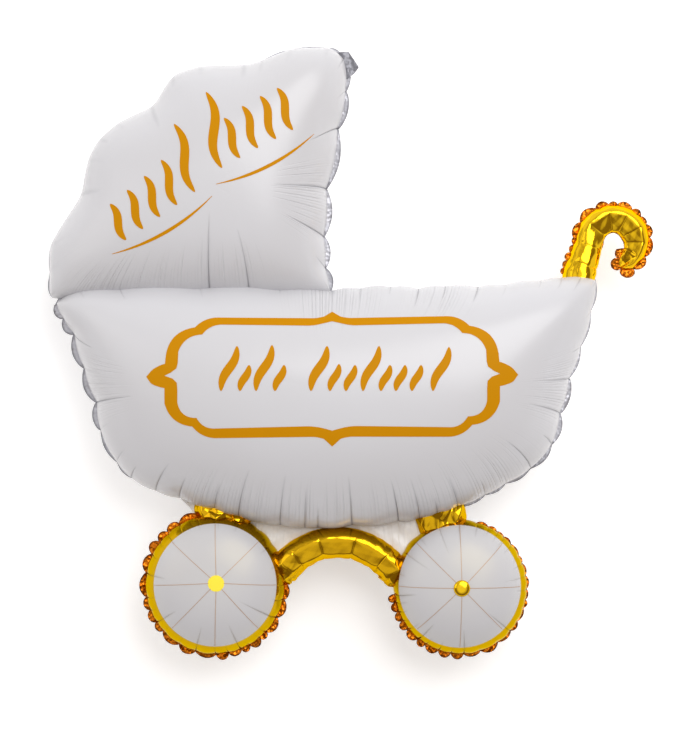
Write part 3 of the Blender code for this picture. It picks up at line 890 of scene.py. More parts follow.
def facet_profile(angles, ridge, inner, flat):
    """Cosine and sine round the tube, drawn to the chord from the ridge to the inner line."""
    turned = from_outer_side(angles)
    share = np.clip((turned - ridge) / (inner - ridge), 0, 1)
    inside = flat[:, None] * ((share > 0) & (share < 1))
    upper = np.sin(ridge) * (1 - share) + np.sin(inner) * share
    chord = (np.cos(ridge) * (1 - share) + np.cos(inner) * share, np.sign(np.sin(angles)) * upper)
    return [whole * (1 - inside) + flat_part * inside
            for whole, flat_part in zip((np.cos(angles), np.sin(angles)), chord)]


def section(line, across, radii, at, profile):
    """Rings at the given distances: across the line by the cosine, upright by the sine."""
    along = distances(line)
    centre, side = looked_up(at, along, line), unit(looked_up(at, along, across))
    radius = np.interp(at, along, radii)[:, None]
    plan = centre[:, None] + side[:, None] * (radius * profile[0])[..., None]
    return np.dstack([plan, SEAM_LEVEL + radius * profile[1]])


def zigzag(phase):
    """A triangle wave between -1 and 1."""
    return 2 * np.abs(2 * (phase - np.floor(phase + 0.5))) - 1


def crumpled(points, depth, size, seed, waves=5):
    """Moves points by triangle waves in random directions, which makes flat facets."""
    rng = np.random.default_rng(seed)
    moved = np.zeros_like(points)
    for number in range(waves):
        direction = rng.normal(size=3)
        direction /= np.linalg.norm(direction)
        push = rng.normal(size=3)
        push /= np.linalg.norm(push)
        phase = points @ direction / (size * rng.uniform(0.7, 1.4)) + rng.uniform(0, 1)
        moved += push * zigzag(phase)[..., None]
    return points + moved * depth / waves


def smooth_step(x):
    x = np.clip(x, 0, 1)
    return x * x * (3 - 2 * x)


def tube(name, line, radii, stations, kink, ridge, inner, flat, rough, seed):
    """Rings along a line, pulled to the straight runs between the stations.

    kink is the share of that pull; it sets in at the ridge, an angle from the outer side.
    From the ridge to the inner line the section is flat by the share flat(at), and
    rough(at) is the depth of the crumple, both at a distance along the line.
    """
    across = normals_of(line)
    length = distances(line)[-1]
    even = np.linspace(0, length, TUBE_ROWS)
    beside = [stations + step for step in (-STATION_HALF_WIDTH, STATION_HALF_WIDTH)]
    at = np.unique(np.concatenate([even, stations, *beside]))
    at = at[(at >= 0) & (at <= length)]
    angles = np.arange(TUBE_SIDES) / TUBE_SIDES * 2 * np.pi
    ends = np.concatenate([[0], stations, [length]])
    smooth, rings = (section(line, across, radii, where,
                             facet_profile(angles, ridge, inner, flat(where)))
                     for where in (at, ends))
    before = np.clip(np.searchsorted(ends, at, side="right") - 1, 0, len(ends) - 2)
    share = ((at - ends[before]) / (ends[before + 1] - ends[before]))[:, None, None]
    straight = rings[before] * (1 - share) + rings[before + 1] * share
    turned = from_outer_side(angles)
    past_inner = smooth_step((turned - inner) / INNER_BLEND)
    pull = kink * smooth_step((turned - ridge + RIDGE_BLEND / 2) / RIDGE_BLEND)
    pull = pull * (1 - 0.75 * past_inner)
    grid = smooth * (1 - pull[None, :, None]) + straight * pull[None, :, None]
    nearest = np.abs(at[:, None] - stations[None, :]).min(axis=1)
    pinch = PINCH_DEPTH * np.exp(-nearest / PINCH_LENGTH)[:, None]
    pinch = pinch * smooth_step((turned - ridge + 0.3) / 0.4)
    middle = grid.mean(axis=1, keepdims=True)
    grid = grid + (middle - grid) * pinch[..., None]
    depth = rough(at)[:, None] * (0.8 + past_inner)
    grid = grid + (crumpled(grid, 1.0, CRUMPLE_SIZE, seed) - grid) * depth[..., None]
    return grid_mesh(name, grid, poles=end_middles(grid))


print("zigzag at 0, 0.25, 0.5:", [float(zigzag(np.array(x))) for x in (0.0, 0.25, 0.5)])

# %% [markdown]
# ## The arched axle
# The arch springs from the inner sides of both wheels and touches the body's lower edge
# with its crown. Its two ends are the most crumpled part of the balloon.

# %% The arch
AXLE_RADIUS, AXLE_RISE, AXLE_SPRING_ANGLE = 0.020, 0.056, 12
AXLE_SEAT, AXLE_END_RADIUS = 0.014, 0.012
ARCH_STATIONS = np.array([0.10, 0.19, 0.37, 0.59, 0.81, 0.92])


def circle_through(first, crown, last):
    """Centre and radius of the circle through three points."""
    rows = 2 * np.array([crown - first, last - first])
    sums = np.array([crown @ crown - first @ first, last @ last - first @ first])
    centre = np.linalg.solve(rows, sums)
    return centre, np.linalg.norm(crown - centre)


def angle_of(point, centre):
    return math.atan2(point[1] - centre[1], point[0] - centre[0])


def axle_line(count=121):
    """From inside the left wheel over the crown to inside the right wheel."""
    rise = math.radians(AXLE_SPRING_ANGLE)
    reach = np.array([math.cos(rise), math.sin(rise)])
    left = LEFT_WHEEL + reach * LEFT_WHEEL_RADIUS
    right = RIGHT_WHEEL + reach * (-1, 1) * RIGHT_WHEEL_RADIUS
    crown = (LEFT_WHEEL + RIGHT_WHEEL) / 2 + np.array([0, AXLE_RISE])
    centre, radius = circle_through(left, crown, right)
    angles = np.linspace(angle_of(left, centre), angle_of(right, centre), count)
    line = ring_points(centre, radius, angles)
    ends = [run / np.linalg.norm(run) * AXLE_SEAT for run in (line[0] - line[1], line[-1] - line[-2])]
    return np.vstack([line[0] + ends[0], line, line[-1] + ends[1]])


arch_line = axle_line()
arch_radii = np.full(len(arch_line), AXLE_RADIUS)
arch_radii[[0, -1]] = AXLE_END_RADIUS
arch_length = distances(arch_line)[-1]


def arch_rough(at):
    """Less than a millimetre at the crown and six at the ends."""
    from_middle = np.abs(at / arch_length - 0.5) * 2
    return 0.0008 + 0.0055 * from_middle**2.5


arch = tube("axle_foil", arch_line, arch_radii, ARCH_STATIONS * arch_length, 1.2,
            math.radians(72), math.radians(126), np.ones_like, arch_rough, 31)
dressed(arch, SHADED_GOLD_FILM)
print("arch:", round(arch_length, 3), "m long,", triangles(arch), "triangles")

# %% [markdown]
# ## The curled handle
# The handle stands on the body's right corner and curls over. Kinks divide its inner
# side into a row of flat facets with a sharp ridge, and its round outer side stays smooth.

# %% The handle
HANDLE_RADIUS, HANDLE_FOOT_RADIUS, HANDLE_INSET = 0.018, 0.021, 0.022
HANDLE_STEM, HANDLE_LEAN = 0.043, 0.014
CURL_RADIUS, CURL_TURN, TIP_RADIUS = 0.0305, 232, 0.012
HANDLE_STATIONS = np.array([0.036, 0.061, 0.086, 0.110, 0.128, 0.147, 0.163, 0.178])


def handle_line(curl_steps=96):
    """From inside the body up the stem and clockwise round the curl, with the radii."""
    foot = CORNER + (BODY_LENGTH - HANDLE_INSET, BODY_HEIGHT)
    start = foot + (HANDLE_LEAN, HANDLE_STEM)
    sunk = foot - (0, HANDLE_FOOT_RADIUS)
    turns = np.radians(np.linspace(180, 180 - CURL_TURN, curl_steps + 1))
    curl = ring_points(start + (CURL_RADIUS, 0), CURL_RADIUS, turns)
    along = curl[-1] - curl[-2]
    along /= np.linalg.norm(along)
    dome = np.radians(np.linspace(10, 86, 12))
    tip = curl[-1] + along * TIP_RADIUS * np.sin(dome)[:, None]
    stem = foot + (start - foot) * np.linspace(0, 1, 25)[:-1, None]
    line = np.vstack([sunk, stem, curl, tip])
    narrow = curl_steps // 3
    radii = np.concatenate([
        [HANDLE_FOOT_RADIUS],
        np.linspace(HANDLE_FOOT_RADIUS, HANDLE_RADIUS, len(stem)),
        np.full(curl_steps + 1 - narrow, HANDLE_RADIUS),
        np.linspace(HANDLE_RADIUS, TIP_RADIUS, narrow),
        TIP_RADIUS * np.cos(dome),
    ])
    return line, radii


def handle_rough(at):
    """None inside the body, then more at the foot and at the tip than round the curl."""
    share = at / handle_length
    rough = 0.0009 + 0.0030 * np.exp(-share / 0.15) + 0.0016 * np.exp((share - 1) / 0.08)
    return rough * smooth_step((at - HANDLE_FOOT_RADIUS + 0.006) / 0.016)


handle_path, handle_radii = handle_line()
handle_length = distances(handle_path)[-1]
handle = tube("handle_foil", handle_path, handle_radii, HANDLE_STATIONS, 1.15,
              math.radians(64), math.radians(148), lambda at: smooth_step((at - 0.062) / 0.02),
              handle_rough, 41)
dressed(handle, GOLD_FILM)
print("handle:", round(handle_length, 3), "m long,", triangles(handle), "triangles")

# %% [markdown]
# ## The necks
# A short gold neck joins each wheel to the body. It holds little gas, so its film stays
# crumpled into facets.

# %% Necks between the wheels and the body
NECK_DEPTH, NECK_CRUMPLE, NECK_CRUMPLE_SIZE = 0.040, 0.0075, 0.022


def neck(name, centre, radius, gap, shift, half_width, seed):
    """An ellipsoid of two angles over the gap, crumpled by several millimetres."""
    middle = centre + np.array([shift, radius + gap / 2])
    half = np.array([half_width, NECK_DEPTH / 2 + gap, NECK_DEPTH / 2])
    turn = np.linspace(0, 2 * np.pi, 97)[:-1]
    rise = np.linspace(-np.pi / 2, np.pi / 2, 62)[1:-1, None]
    ball = np.dstack([np.cos(rise) * np.cos(turn), np.cos(rise) * np.sin(turn),
                      np.sin(rise) + 0 * turn])
    grid = ball * half + (*middle, SEAM_LEVEL)
    grid = crumpled(grid, NECK_CRUMPLE, NECK_CRUMPLE_SIZE, seed)
    return dressed(grid_mesh(name, grid, poles=end_middles(grid)), SHADED_GOLD_FILM)


neck("left_neck", LEFT_WHEEL, LEFT_WHEEL_RADIUS, LEFT_WHEEL_GAP, 0.012, 0.040, 51)
neck("right_neck", RIGHT_WHEEL, RIGHT_WHEEL_RADIUS, RIGHT_WHEEL_GAP, -0.026, 0.034, 52)
print("two necks")

# %% [markdown]
# ## Thin sheets
# The welded margin, the flat webs and the printed marks are all thin ribbons: a left
# side, a right side and a few points between them, with a top and an underside. One
# helper makes them, and each of them says how high its top lies.

# %% A ribbon from its two sides
def ribbon(name, left, right, level, thickness, across=6, closed=False, marks=None):
    """Straight lines from left to right, at the level given by the plan, as a closed shell."""
    share = np.linspace(0, 1, across)[None, :, None]
    plan = left[:, None] * (1 - share) + right[:, None] * share
    top = level(plan, share[0, :, 0])
    upper = np.dstack([plan, top])
    lower = np.dstack([plan, top - thickness])[:, ::-1]
    grid = np.concatenate([upper, lower], axis=1)
    middle = (left + right) / 2
    along = arc_lengths(middle) if closed else distances(middle)
    v = np.concatenate([share[0, :, 0], share[0, ::-1, 0], [0]])
    uv = np.dstack(np.meshgrid(v, along)[::-1])
    poles = (None, None) if closed else end_middles(grid)
    spread = {mark: np.broadcast_to(values[:, None], grid.shape[:2])
              for mark, values in (marks or {}).items()}
    obj = grid_mesh(name, grid, wrap_rows=closed, poles=poles, uv=uv, marks=spread)
    obj.data.set_sharp_from_angle(angle=math.radians(55))
    return obj


# %% [markdown]
# ## The welded margin
# Outside the weld a strip of flat double film stays, wider in the middle of each lobe
# and almost nothing at a pinch. Its colour is darkened towards its outer edge and the
# pinches as painted shade, where it curls away from the light, and its lobes bend up or
# down by a millimetre or two.
# Where the photograph shows no margin the strip stays inside the skin.

# %% The margin around the chambers
SEAM_WIDTH_AT_PINCH, SEAM_FILM, SEAM_SINK = 0.0016, 0.0005, 0.0015
BODY_SEAM_SHARES = (
    1.0, 1.0, 1.0, 1.0, 0.9, 0.5, 0.3, 0.0, 0.0, 0.0, 0.0, 0.0, 0.0, 0.0, 0.0, 0.0, 0.0,
    0.2, 0.3, 0.4, 0.4, 0.45, 0.65, 0.75, 0.75, 0.4, 0.3, 0.3, 0.25, 0.1, 0.0, 0.0,
    0.0, 0.0, 0.0, 0.0, 0.0, 0.0, 0.0, 0.0, 0.0, 0.25, 0.6,
)
HOOD_SEAM_SHARES = (
    0.0, 0.0, 0.0, 0.0, 0.2, 0.7, 0.75, 0.8, 0.8, 0.75, 0.7, 0.4, 0.2, 0.2, 0.0, 0.0,
    0.0, 0.0, 0.0, 0.0, 0.0, 0.0, 0.0, 0.0, 0.15, 0.3,
)


def margin_film(name, light, deep, dark, metallic, roughness, bump_depth):
    """Film with painted shade towards its outer edge and the pinches on both sides of a lobe."""
    material, tree, shader = new_material(name, Metallic=metallic, Roughness=roughness)
    outer = mapped(tree, seam_place(tree)[1], From_Min=0.62)
    pinched = mapped(tree, attribute(tree, "bow"), From_Max=0.7, To_Min=0.8, To_Max=0.0)
    mask = math_node(tree, "MAXIMUM", outer, pinched)
    # painted shade: the film is moved towards the dark colour at the outer edge and at the pinches
    film = moved_to(tree, mottled(tree, light, deep, 130.0), mask, 0.9, dark)
    put_in(tree, shader.inputs["Base Color"], film)
    crumple = placed(tree, CRUMPLE, Cell_Scale=210.0, Cells=0.8)
    bumped(tree, shader, [(crumple, 0.8, bump_depth)])
    return material


def margin(name, room, shares, curl, material, seed):
    """The edge moved inwards a little and outwards by each lobe's width times a sine."""
    rng = np.random.default_rng(seed)
    edge, lobes = room["edge"], room["lobes"]
    along = np.roll(edge, -1, axis=0) - np.roll(edge, 1, axis=0)
    outward = unit(np.stack([along[:, 1], -along[:, 0]], axis=1))
    steps = len(edge) // len(shares)
    share = np.repeat(np.array(shares), steps)
    power = np.repeat(rng.uniform(0.45, 0.95, len(shares)), steps)
    bow = np.sin(np.pi * lobes) ** power
    skew = 1 + 0.22 * np.repeat(rng.uniform(-1, 1, len(shares)), steps) * (lobes - 0.5)
    width = (SEAM_WIDTH_AT_PINCH + (SEAM_WIDTH - SEAM_WIDTH_AT_PINCH) * bow * skew) * share
    width = np.where(share > 0, width, -SEAM_SINK / 2)
    lift = np.repeat(rng.uniform(-curl, curl, len(shares)), steps) * bow * share
    waves = np.repeat(rng.integers(2, 5, len(shares)), steps)
    ripple = 0.25 * curl * np.sin(lobes * 2 * np.pi * waves)

    def level(plan, across):
        return SEAM_LEVEL + SEAM_FILM / 2 + (lift + ripple * share)[:, None] * across[None, :] ** 1.5

    obj = ribbon(name, edge - outward * SEAM_SINK, edge + outward * width[:, None], level,
                 SEAM_FILM, 8, closed=True, marks={"bow": bow})
    return dressed(obj, material)


def free_shares(room, first, last, seed):
    """Widths of the lobes, none outside the two angles, and the lobes' angles in degrees."""
    middles = (room["pinches"] + np.roll(room["pinches"], -1, axis=0)) / 2 - room["middle"]
    angles = np.degrees(np.arctan2(middles[:, 1], middles[:, 0]))
    free = (angles - first) % 360 < last - first
    return free * np.random.default_rng(seed).uniform(0.7, 1.1, len(angles)), angles


# painted shade: the last colour of each margin film is the shade at its outer edge and its pinches
MARGIN = margin_film("film_margin", (0.42, 0.42, 0.46), (0.56, 0.56, 0.60),
                     (0.10, 0.10, 0.12), 0.3, 0.3, 0.0014)
GOLD_SEAM = margin_film("gold_seam", SEAM_GOLD, SEAM_GOLD_DEEP, SEAM_GOLD_PAINTED_SHADE, 0.9, 0.2, 0.0030)
margin("body_seam", body_room, BODY_SEAM_SHARES, 0.0022, MARGIN, 61)
margin("hood_seam", hood_room, HOOD_SEAM_SHARES, 0.0022, MARGIN, 62)
left_shares = free_shares(left_room, 104, 360, 63)[0]
right_shares, right_angles = free_shares(right_room, -174, 76, 64)
right_shares *= 0.62 + 0.38 * np.cos(np.radians(right_angles + 140))
margin("left_wheel_seam", left_room, left_shares, 0.0030, GOLD_SEAM, 63)
margin("right_wheel_seam", right_room, right_shares, 0.0030, GOLD_SEAM, 64)
print("margins around four chambers")

# %% [markdown]
# ## The handle's margin
# The handle has a welded margin too. Its outline is the tube seen from above, cut into
# lobes: broad scallops round the outside of the curl and round the tip, and hardly
# anything on the inner side.

# %% The margin around the handle
HANDLE_LOBES = (
    # end of each lobe in thousandths of the outline, from the foot round by the inner
    # side and the tip to the outer side, and its share of the seam's width
    (150, 0.0), (220, 0.12), (283, 0.12), (318, 1.1), (350, 1.25), (388, 1.3), (438, 1.0),
    (496, 0.8), (537, 0.8), (565, 0.5), (599, 0.75), (644, 0.85), (671, 0.6), (712, 0.85),
    (774, 0.95), (824, 0.85), (852, 0.6), (878, 0.5), (904, 0.7), (928, 0.55), (948, 0.5),
    (1000, 0.0),
)


def handle_outline(steps=18):
    """Forward along the right side, round the tip and back along the left, cut into lobes."""
    across = normals_of(handle_path)
    right = handle_path - across * handle_radii[:, None]
    left = handle_path + across * handle_radii[:, None]
    outline = np.vstack([right, left[::-1]])
    along = distances(outline)
    ends = np.array([0] + [end for end, _ in HANDLE_LOBES]) / 1000 * along[-1]
    share = crowded(steps)
    at = (ends[:-1, None] + np.diff(ends)[:, None] * share).ravel()
    return looked_up(at, along, outline), np.tile(share, len(HANDLE_LOBES))


handle_edge, handle_lobes = handle_outline()
margin("handle_seam", {"edge": handle_edge, "lobes": handle_lobes},
       [share for _, share in HANDLE_LOBES], 0.0025, GOLD_SEAM, 71)
print(len(HANDLE_LOBES), "lobes around the handle")

# %% [markdown]
# ## Flat webs and loose corners
# Between the arch, the body and each wheel the film is only welded, not blown up, and
# stays a flat white sheet with fine wrinkles. A small corner of the same film lies left
# of the left neck. A tab of film stands out at the hood's upper right corner, where the
# balloon is held while it is filled.

# %% Webs, film corner and tab
WEB_START, WEB_FOOT_SHARE = 0.014, 0.8
WEB_WRINKLE, WEB_WRINKLE_SIZE, SMALL_WRINKLE = 0.0050, 0.017, 0.0030
TAB_LENGTH, TAB_WIDTH, HOOD_TAB = 0.019, 0.024, (995, 950)


def web_film():
    material, tree, shader = new_material("web_film", Roughness=0.3)
    paper = mottled(tree, (0.88, 0.87, 0.87), (0.74, 0.71, 0.68), 40.0)
    put_in(tree, shader.inputs["Base Color"], paper)
    pleats = placed(tree, PLEATS, Pitch=0.0052, Length=30.0)
    crumple = placed(tree, CRUMPLE, Cell_Scale=110.0, Cells=0.7)
    bumped(tree, shader, [(crumple, 0.5, 0.0016), (pleats, 0.4, 0.0014)])
    return material


def resampled(line, count):
    along = distances(line)
    return looked_up(np.linspace(0, along[-1], count), along, line)


def wrinkles(plan, depth, seed, size=0.011):
    """Triangle waves over a flat sheet."""
    flat = np.dstack([plan, np.zeros(plan.shape[:2])])
    return crumpled(flat, depth, size, seed)[..., 2]


def web(name, centre, radius, side, seed):
    """A sheet from inside the wheel to the crown, between the body's edge and the arch."""
    half = arch_line[:len(arch_line) // 2 + 1] if side < 0 else arch_line[len(arch_line) // 2:][::-1]
    x = np.linspace(centre[0] - side * WEB_START, half[-1, 0], 60)
    above = np.stack([x, underside_at(x) + SEAM_WIDTH], axis=1)
    foot = centre + (0, WEB_FOOT_SHARE * radius)
    upper, lower = resampled(above, 80), resampled(np.vstack([foot, half[2:]]), 80)
    left, right = (upper, lower) if side < 0 else (lower, upper)

    def level(plan, share):
        return SEAM_LEVEL + 0.0006 + wrinkles(plan, WEB_WRINKLE, seed, WEB_WRINKLE_SIZE)

    sheet = ribbon(name, left, right, level, 0.0010, 24, marks={"pleats": np.ones(len(left))})
    return dressed(sheet, WEB_FILM)


def film_corner():
    """A small flat sheet between the body's edge and the outside of the left neck."""
    upper = resampled(from_photo([(178, 494), (190, 496), (208, 502)]), 30)
    lower = resampled(from_photo([(181, 499), (190, 508), (197, 519), (208, 521)]), 30)

    def level(plan, share):
        return SEAM_LEVEL + 0.0004 + wrinkles(plan, SMALL_WRINKLE, 84)

    sheet = ribbon("left_film_corner", upper, lower, level, 0.0008, 12,
                   marks={"pleats": np.ones(len(upper))})
    return dressed(sheet, WEB_FILM)


def tab():
    """A leaf of film with a bent free corner."""
    corner = scaled([HOOD_TAB], HOOD_WIDTH, HOOD_HEIGHT, hood_corner)[0]
    size = (TAB_LENGTH, TAB_WIDTH)
    above = np.array([(-0.5, 0.45), (0.3, 0.5), (0.65, 0.1), (0.98, -0.3)])
    below = np.array([(-0.5, -0.9), (0.2, -1.0), (0.7, -0.7), (1.0, -0.38)])
    upper, lower = (resampled(corner + side * size, 30) for side in (above, below))

    def level(plan, share):
        return SEAM_LEVEL + 0.0010 + wrinkles(plan, SMALL_WRINKLE, 83)

    return dressed(ribbon("hood_tab", upper, lower, level, SEAM_FILM, 12), MARGIN)


WEB_FILM = web_film()
web("left_web", LEFT_WHEEL, LEFT_WHEEL_RADIUS, -1, 81)
web("right_web", RIGHT_WHEEL, RIGHT_WHEEL_RADIUS, 1, 82)
film_corner()
tab()
print("two webs, a film corner and a tab")

# %% [markdown]
# ## Printed marks
# The print lies in the film, so it follows every bulge. Places were read from the
# photograph, where the raised front looks a little larger than the seam, because it is
# nearer to the camera. Each place is moved back along its line of sight first.

# %% From the photograph to the raised film
INK_RISE, INK_FILM = 0.0003, 0.0009


def film_level(room):
    def level(plan, share):
        height = blown(plan.reshape(-1, 2), room).reshape(plan.shape[:2])
        return SEAM_LEVEL + height + INK_RISE
    return level


def ink(name, color, metallic, roughness):
    material, tree, shader = new_material(name, Metallic=metallic, Roughness=roughness,
                                          Specular_IOR_Level=0.06)
    deep = tuple(0.93 * value for value in color)
    put_in(tree, shader.inputs["Base Color"], mottled(tree, color, deep, 30.0))
    crumple = placed(tree, CRUMPLE, Cell_Scale=30.0, Cells=0.15)
    bumped(tree, shader, [(crumple, 0.25, 0.0016)])
    return material


def gathered(name, pieces):
    """Several ribbons as one piece."""
    shape = bmesh.new()
    for piece in pieces:
        shape.from_mesh(piece.data)
        bpy.data.objects.remove(piece)
    mesh = bpy.data.meshes.new(name)
    shape.to_mesh(mesh)
    shape.free()
    return new_object(name, mesh)


PRINT_GOLD = ink("printed_gold", (0.56, 0.235, 0.0), 0.0, 0.5)
SPOKE_INK = ink("spoke_ink", (0.50, 0.33, 0.22), 0.2, 0.4)
# painted highlight: the left hub's gold is given the brightness of its reflection of a light
HUB_GOLD_AND_HIGHLIGHT = ink("hub_gold_painted_highlight", (1.0, 0.82, 0.07), 0.3, 0.3)
print("inks ready")

# %% [markdown]
# ## The bracket frame
# The front carries a frame of the old bracket kind: straight sides, hollowed corners and
# a small point in the middle of each side. Half of it is written as corners with the
# bulge of each run between them, and the other half is its mirror image.

# %% The printed frame
FRAME_AXIS, FRAME_SLOPE = 332.2, 0.006
# each row: x and y in the photograph, then the bulge of the run to the next row
FRAME_OUTER = (
    (332.2, 311.6, 0.0), (340.2, 316.3, -0.03), (351.4, 317.9, 0.0), (447.8, 316.1, 0.10),
    (469.4, 325.6, 0.20), (499.0, 357.0, 0.0), (499.5, 361.7, 0.03), (508.1, 365.1, 0.05),
    (513.9, 369.4, 0.0), (518.2, 374.6, 0.0), (513.9, 380.9, 0.05), (507.2, 384.2, 0.03),
    (500.0, 386.1, 0.0), (500.0, 401.4, 0.17), (472.2, 424.9, 0.12), (447.8, 436.8, 0.0),
    (351.4, 436.7, -0.03), (340.7, 438.8, 0.0), (332.2, 446.6, 0.0),
)
FRAME_INNER = (
    (332.2, 321.3, 0.0), (345.3, 324.2, -0.03), (357.0, 325.3, 0.0), (443.0, 323.3, 0.12),
    (462.2, 333.0, 0.17), (486.1, 349.8, 0.0), (486.6, 361.2, 0.0), (488.0, 366.5, 0.0),
    (493.8, 370.8, 0.0), (500.0, 373.7, 0.0), (491.9, 376.6, 0.0), (487.6, 380.9, 0.0),
    (487.1, 388.0, 0.0), (487.1, 400.5, 0.21), (467.9, 416.3, 0.16), (447.8, 427.1, 0.0),
    (357.6, 426.0, -0.03), (341.2, 428.1, 0.0), (332.2, 430.6, 0.0),
)


def bulged(rows, steps=14):
    """A parabola over each run, its height the bulge times the run's length."""
    rows = np.array(rows)
    start, end = rows[:-1, None, :2], rows[1:, None, :2]
    share = (np.arange(steps) / steps)[None, :, None]
    run = end - start
    outward = np.stack([run[..., 1], -run[..., 0]], axis=2)
    points = start + run * share + outward * rows[:-1, None, 2:] * 4 * share * (1 - share)
    return points.reshape(-1, 2)


def framed(rows):
    """The right half from top to bottom, then its mirror image back, with the print's slope."""
    right = bulged(rows)
    right[:, 1] += FRAME_SLOPE * (right[:, 0] - FRAME_AXIS)
    left = np.array([2 * FRAME_AXIS, 0]) + right * (-1, 1)
    whole = np.vstack([right, [[FRAME_AXIS, rows[-1][1]]], left[:0:-1]])
    whole[:, 1] -= FRAME_SLOPE * (whole[:, 0] - FRAME_AXIS)
    return whole


outer, inner = (on_film(framed(rows), body_room) for rows in (FRAME_OUTER, FRAME_INNER))
frame_print = ribbon("printed_frame", outer, inner, film_level(body_room), INK_FILM, 8,
                     closed=True)
dressed(frame_print, PRINT_GOLD)
print("frame:", triangles(frame_print), "triangles")

# %% [markdown]
# ## Strokes in place of words
# The real balloon carries lettering on its body and its hood. Plain brush strokes stand
# in its places here: slanted waves of two heights with no letters among them, and a thin
# sweep below each group on the hood.

# %% Brush strokes
# each row: x and y of the foot, x and y of the head, the bend and the half-width, in pixels
BODY_STROKES = (
    (221, 391, 237, 346, 0.05, 4.6), (240, 391, 249, 365, 0.05, 4.0),
    (256, 391, 272, 345, 0.05, 4.6), (275, 391, 284, 365, 0.05, 4.0),
    (311, 391, 327, 346, 0.05, 4.8), (330, 391, 339, 364, 0.05, 4.0),
    (346, 391, 355, 365, 0.05, 4.0), (363, 391, 379, 346, 0.05, 4.6),
    (381, 391, 390, 365, 0.05, 4.0), (396, 391, 405, 365, 0.05, 4.0),
    (412, 391, 421, 365, 0.05, 4.0), (433, 391, 449, 347, 0.05, 4.6),
)
HOOD_STROKES = (
    (126, 240, 110, 204, 0.06, 4.2), (143, 229, 127, 190, 0.06, 4.2),
    (160, 217, 144, 176, 0.06, 4.2), (177, 205, 161, 160, 0.06, 4.2),
    (195, 192, 174, 124, 0.06, 4.6), (222, 168, 206, 92, 0.06, 4.8),
    (240, 158, 224, 118, 0.06, 4.2), (258, 148, 242, 106, 0.06, 4.2),
    (276, 139, 260, 96, 0.06, 4.2), (293, 130, 277, 88, 0.06, 4.2),
)
HOOD_SWASHES = (
    (112, 254, 212, 196, 0.07, 1.5), (216, 184, 314, 134, 0.07, 1.5),
)


def stroke(row, count=48):
    """A straight run with a sine wave across it, thick in the middle and round at the ends."""
    x, y, head_x, head_y, bend, half = row
    share = np.linspace(0, 1, count)[:, None]
    run = np.array([head_x - x, head_y - y], float)
    across = np.array([run[1], -run[0]])
    line = (x, y) + run * share + across * bend * np.sin(2 * np.pi * share)
    ends = np.sqrt(np.clip(1 - np.abs(2 * share - 1) ** 5, 0.01, 1))
    return line, half * ends * (0.55 + 0.45 * np.sin(np.pi * share))


def swash(row, count=60):
    """A parabola below a row of strokes, with fine ends."""
    x, y, head_x, head_y, bend, half = row
    share = np.linspace(0, 1, count)[:, None]
    run = np.array([head_x - x, head_y - y], float)
    across = np.array([-run[1], run[0]])
    line = (x, y) + run * share + across * bend * 4 * share * (1 - share)
    return line, half * (0.15 + np.sin(np.pi * share))


def painted(name, lines, room):
    """Each line becomes a ribbon on the film, half its width to either side."""
    pieces = []
    for number, (line, half) in enumerate(lines):
        across = normals_of(line)
        sides = [on_film(line + across * half * way, room) for way in (-1, 1)]
        pieces.append(ribbon(f"{name}_{number}", *sides, film_level(room), INK_FILM, 6))
    return dressed(gathered(name, pieces), PRINT_GOLD)


painted("body_strokes", [stroke(row) for row in BODY_STROKES], body_room)
hood_lines = [stroke(row) for row in HOOD_STROKES] + [swash(row) for row in HOOD_SWASHES]
painted("hood_strokes", hood_lines, hood_room)
print(len(BODY_STROKES), "strokes on the body,", len(HOOD_STROKES + HOOD_SWASHES), "on the hood")

# %% [markdown]
# ## Spokes and hubs
# Eight thin lines and a yellow dot are printed on the left disc, each only a sliver of
# ink that rides three tenths of a millimetre above the film. The dot is gold foil: its
# yellow is its own, and its brightness is a painted highlight of a light it mirrors. The
# right disc has the same lines, but its hub is a small dome of gold foil, three
# millimetres high.

# %% Spokes and hubs
HUB_RADIUS, HUB_CORE_RADIUS, HUB_RISE = 0.0105, 0.00002, 0.0030
SPOKES, SPOKE_HALF_WIDTH, SPOKE_FILM = 8, 0.00035, 0.0007


def spokes(name, room, hub_middle):
    """Straight lines from the hub to the disc's edge at even angles."""
    pieces = []
    for number in range(SPOKES):
        angle = 2 * np.pi * number / SPOKES
        direction = np.array([np.cos(angle), np.sin(angle)])
        across = np.array([-direction[1], direction[0]]) * SPOKE_HALF_WIDTH
        end = room["disc"] + direction * (room["disc_radius"] - 0.0006)
        start = hub_middle + direction * HUB_RADIUS * 0.9
        line = start + (end - start) * np.linspace(0, 1, 70)[:, None]
        pieces.append(ribbon(f"{name}_{number}", line + across, line - across,
                             film_level(room), SPOKE_FILM, 3))
    return dressed(gathered(name, pieces), SPOKE_INK)


def hub(name, room, hub_middle, rise, material):
    """A ring of ribbon from nearly nothing to the hub's radius, domed by a rise."""
    angles = np.linspace(0, -2 * np.pi, 97)[:-1]
    rim = ring_points(hub_middle, HUB_RADIUS, angles)
    core = ring_points(hub_middle, HUB_CORE_RADIUS, angles)

    def level(plan, share):
        return film_level(room)(plan, share) + rise * np.sqrt(1 - 0.98 * (1 - share) ** 2)

    return dressed(ribbon(name, rim, core, level, INK_FILM, 10, closed=True), material)


left_hub, right_hub = (on_film(np.array([place]), room)[0]
                       for place, room in ((LEFT_HUB, left_room), (RIGHT_HUB, right_room)))
spokes("left_spokes", left_room, left_hub)
spokes("right_spokes", right_room, right_hub)
hub("left_hub", left_room, left_hub, 0.0, HUB_GOLD_AND_HIGHLIGHT)
hub("right_hub", right_room, right_hub, HUB_RISE, GOLD_FILM)
print("spokes and hubs printed")

# %% [markdown]
# ## Floor, light and camera
# The floor is plain and pale, and glows a little, so that the shadows on it stay as
# light as in the photograph. A large soft light hangs high to the upper right and a weak
# one to the left. The world fills the rest: bright near the horizon, overhead and beyond
# the hood, and dark and warm halfway up, so that gold has something dark to mirror. The
# camera looks straight down at the distance at which one pixel is 1.3 mm on the seam's
# plane.

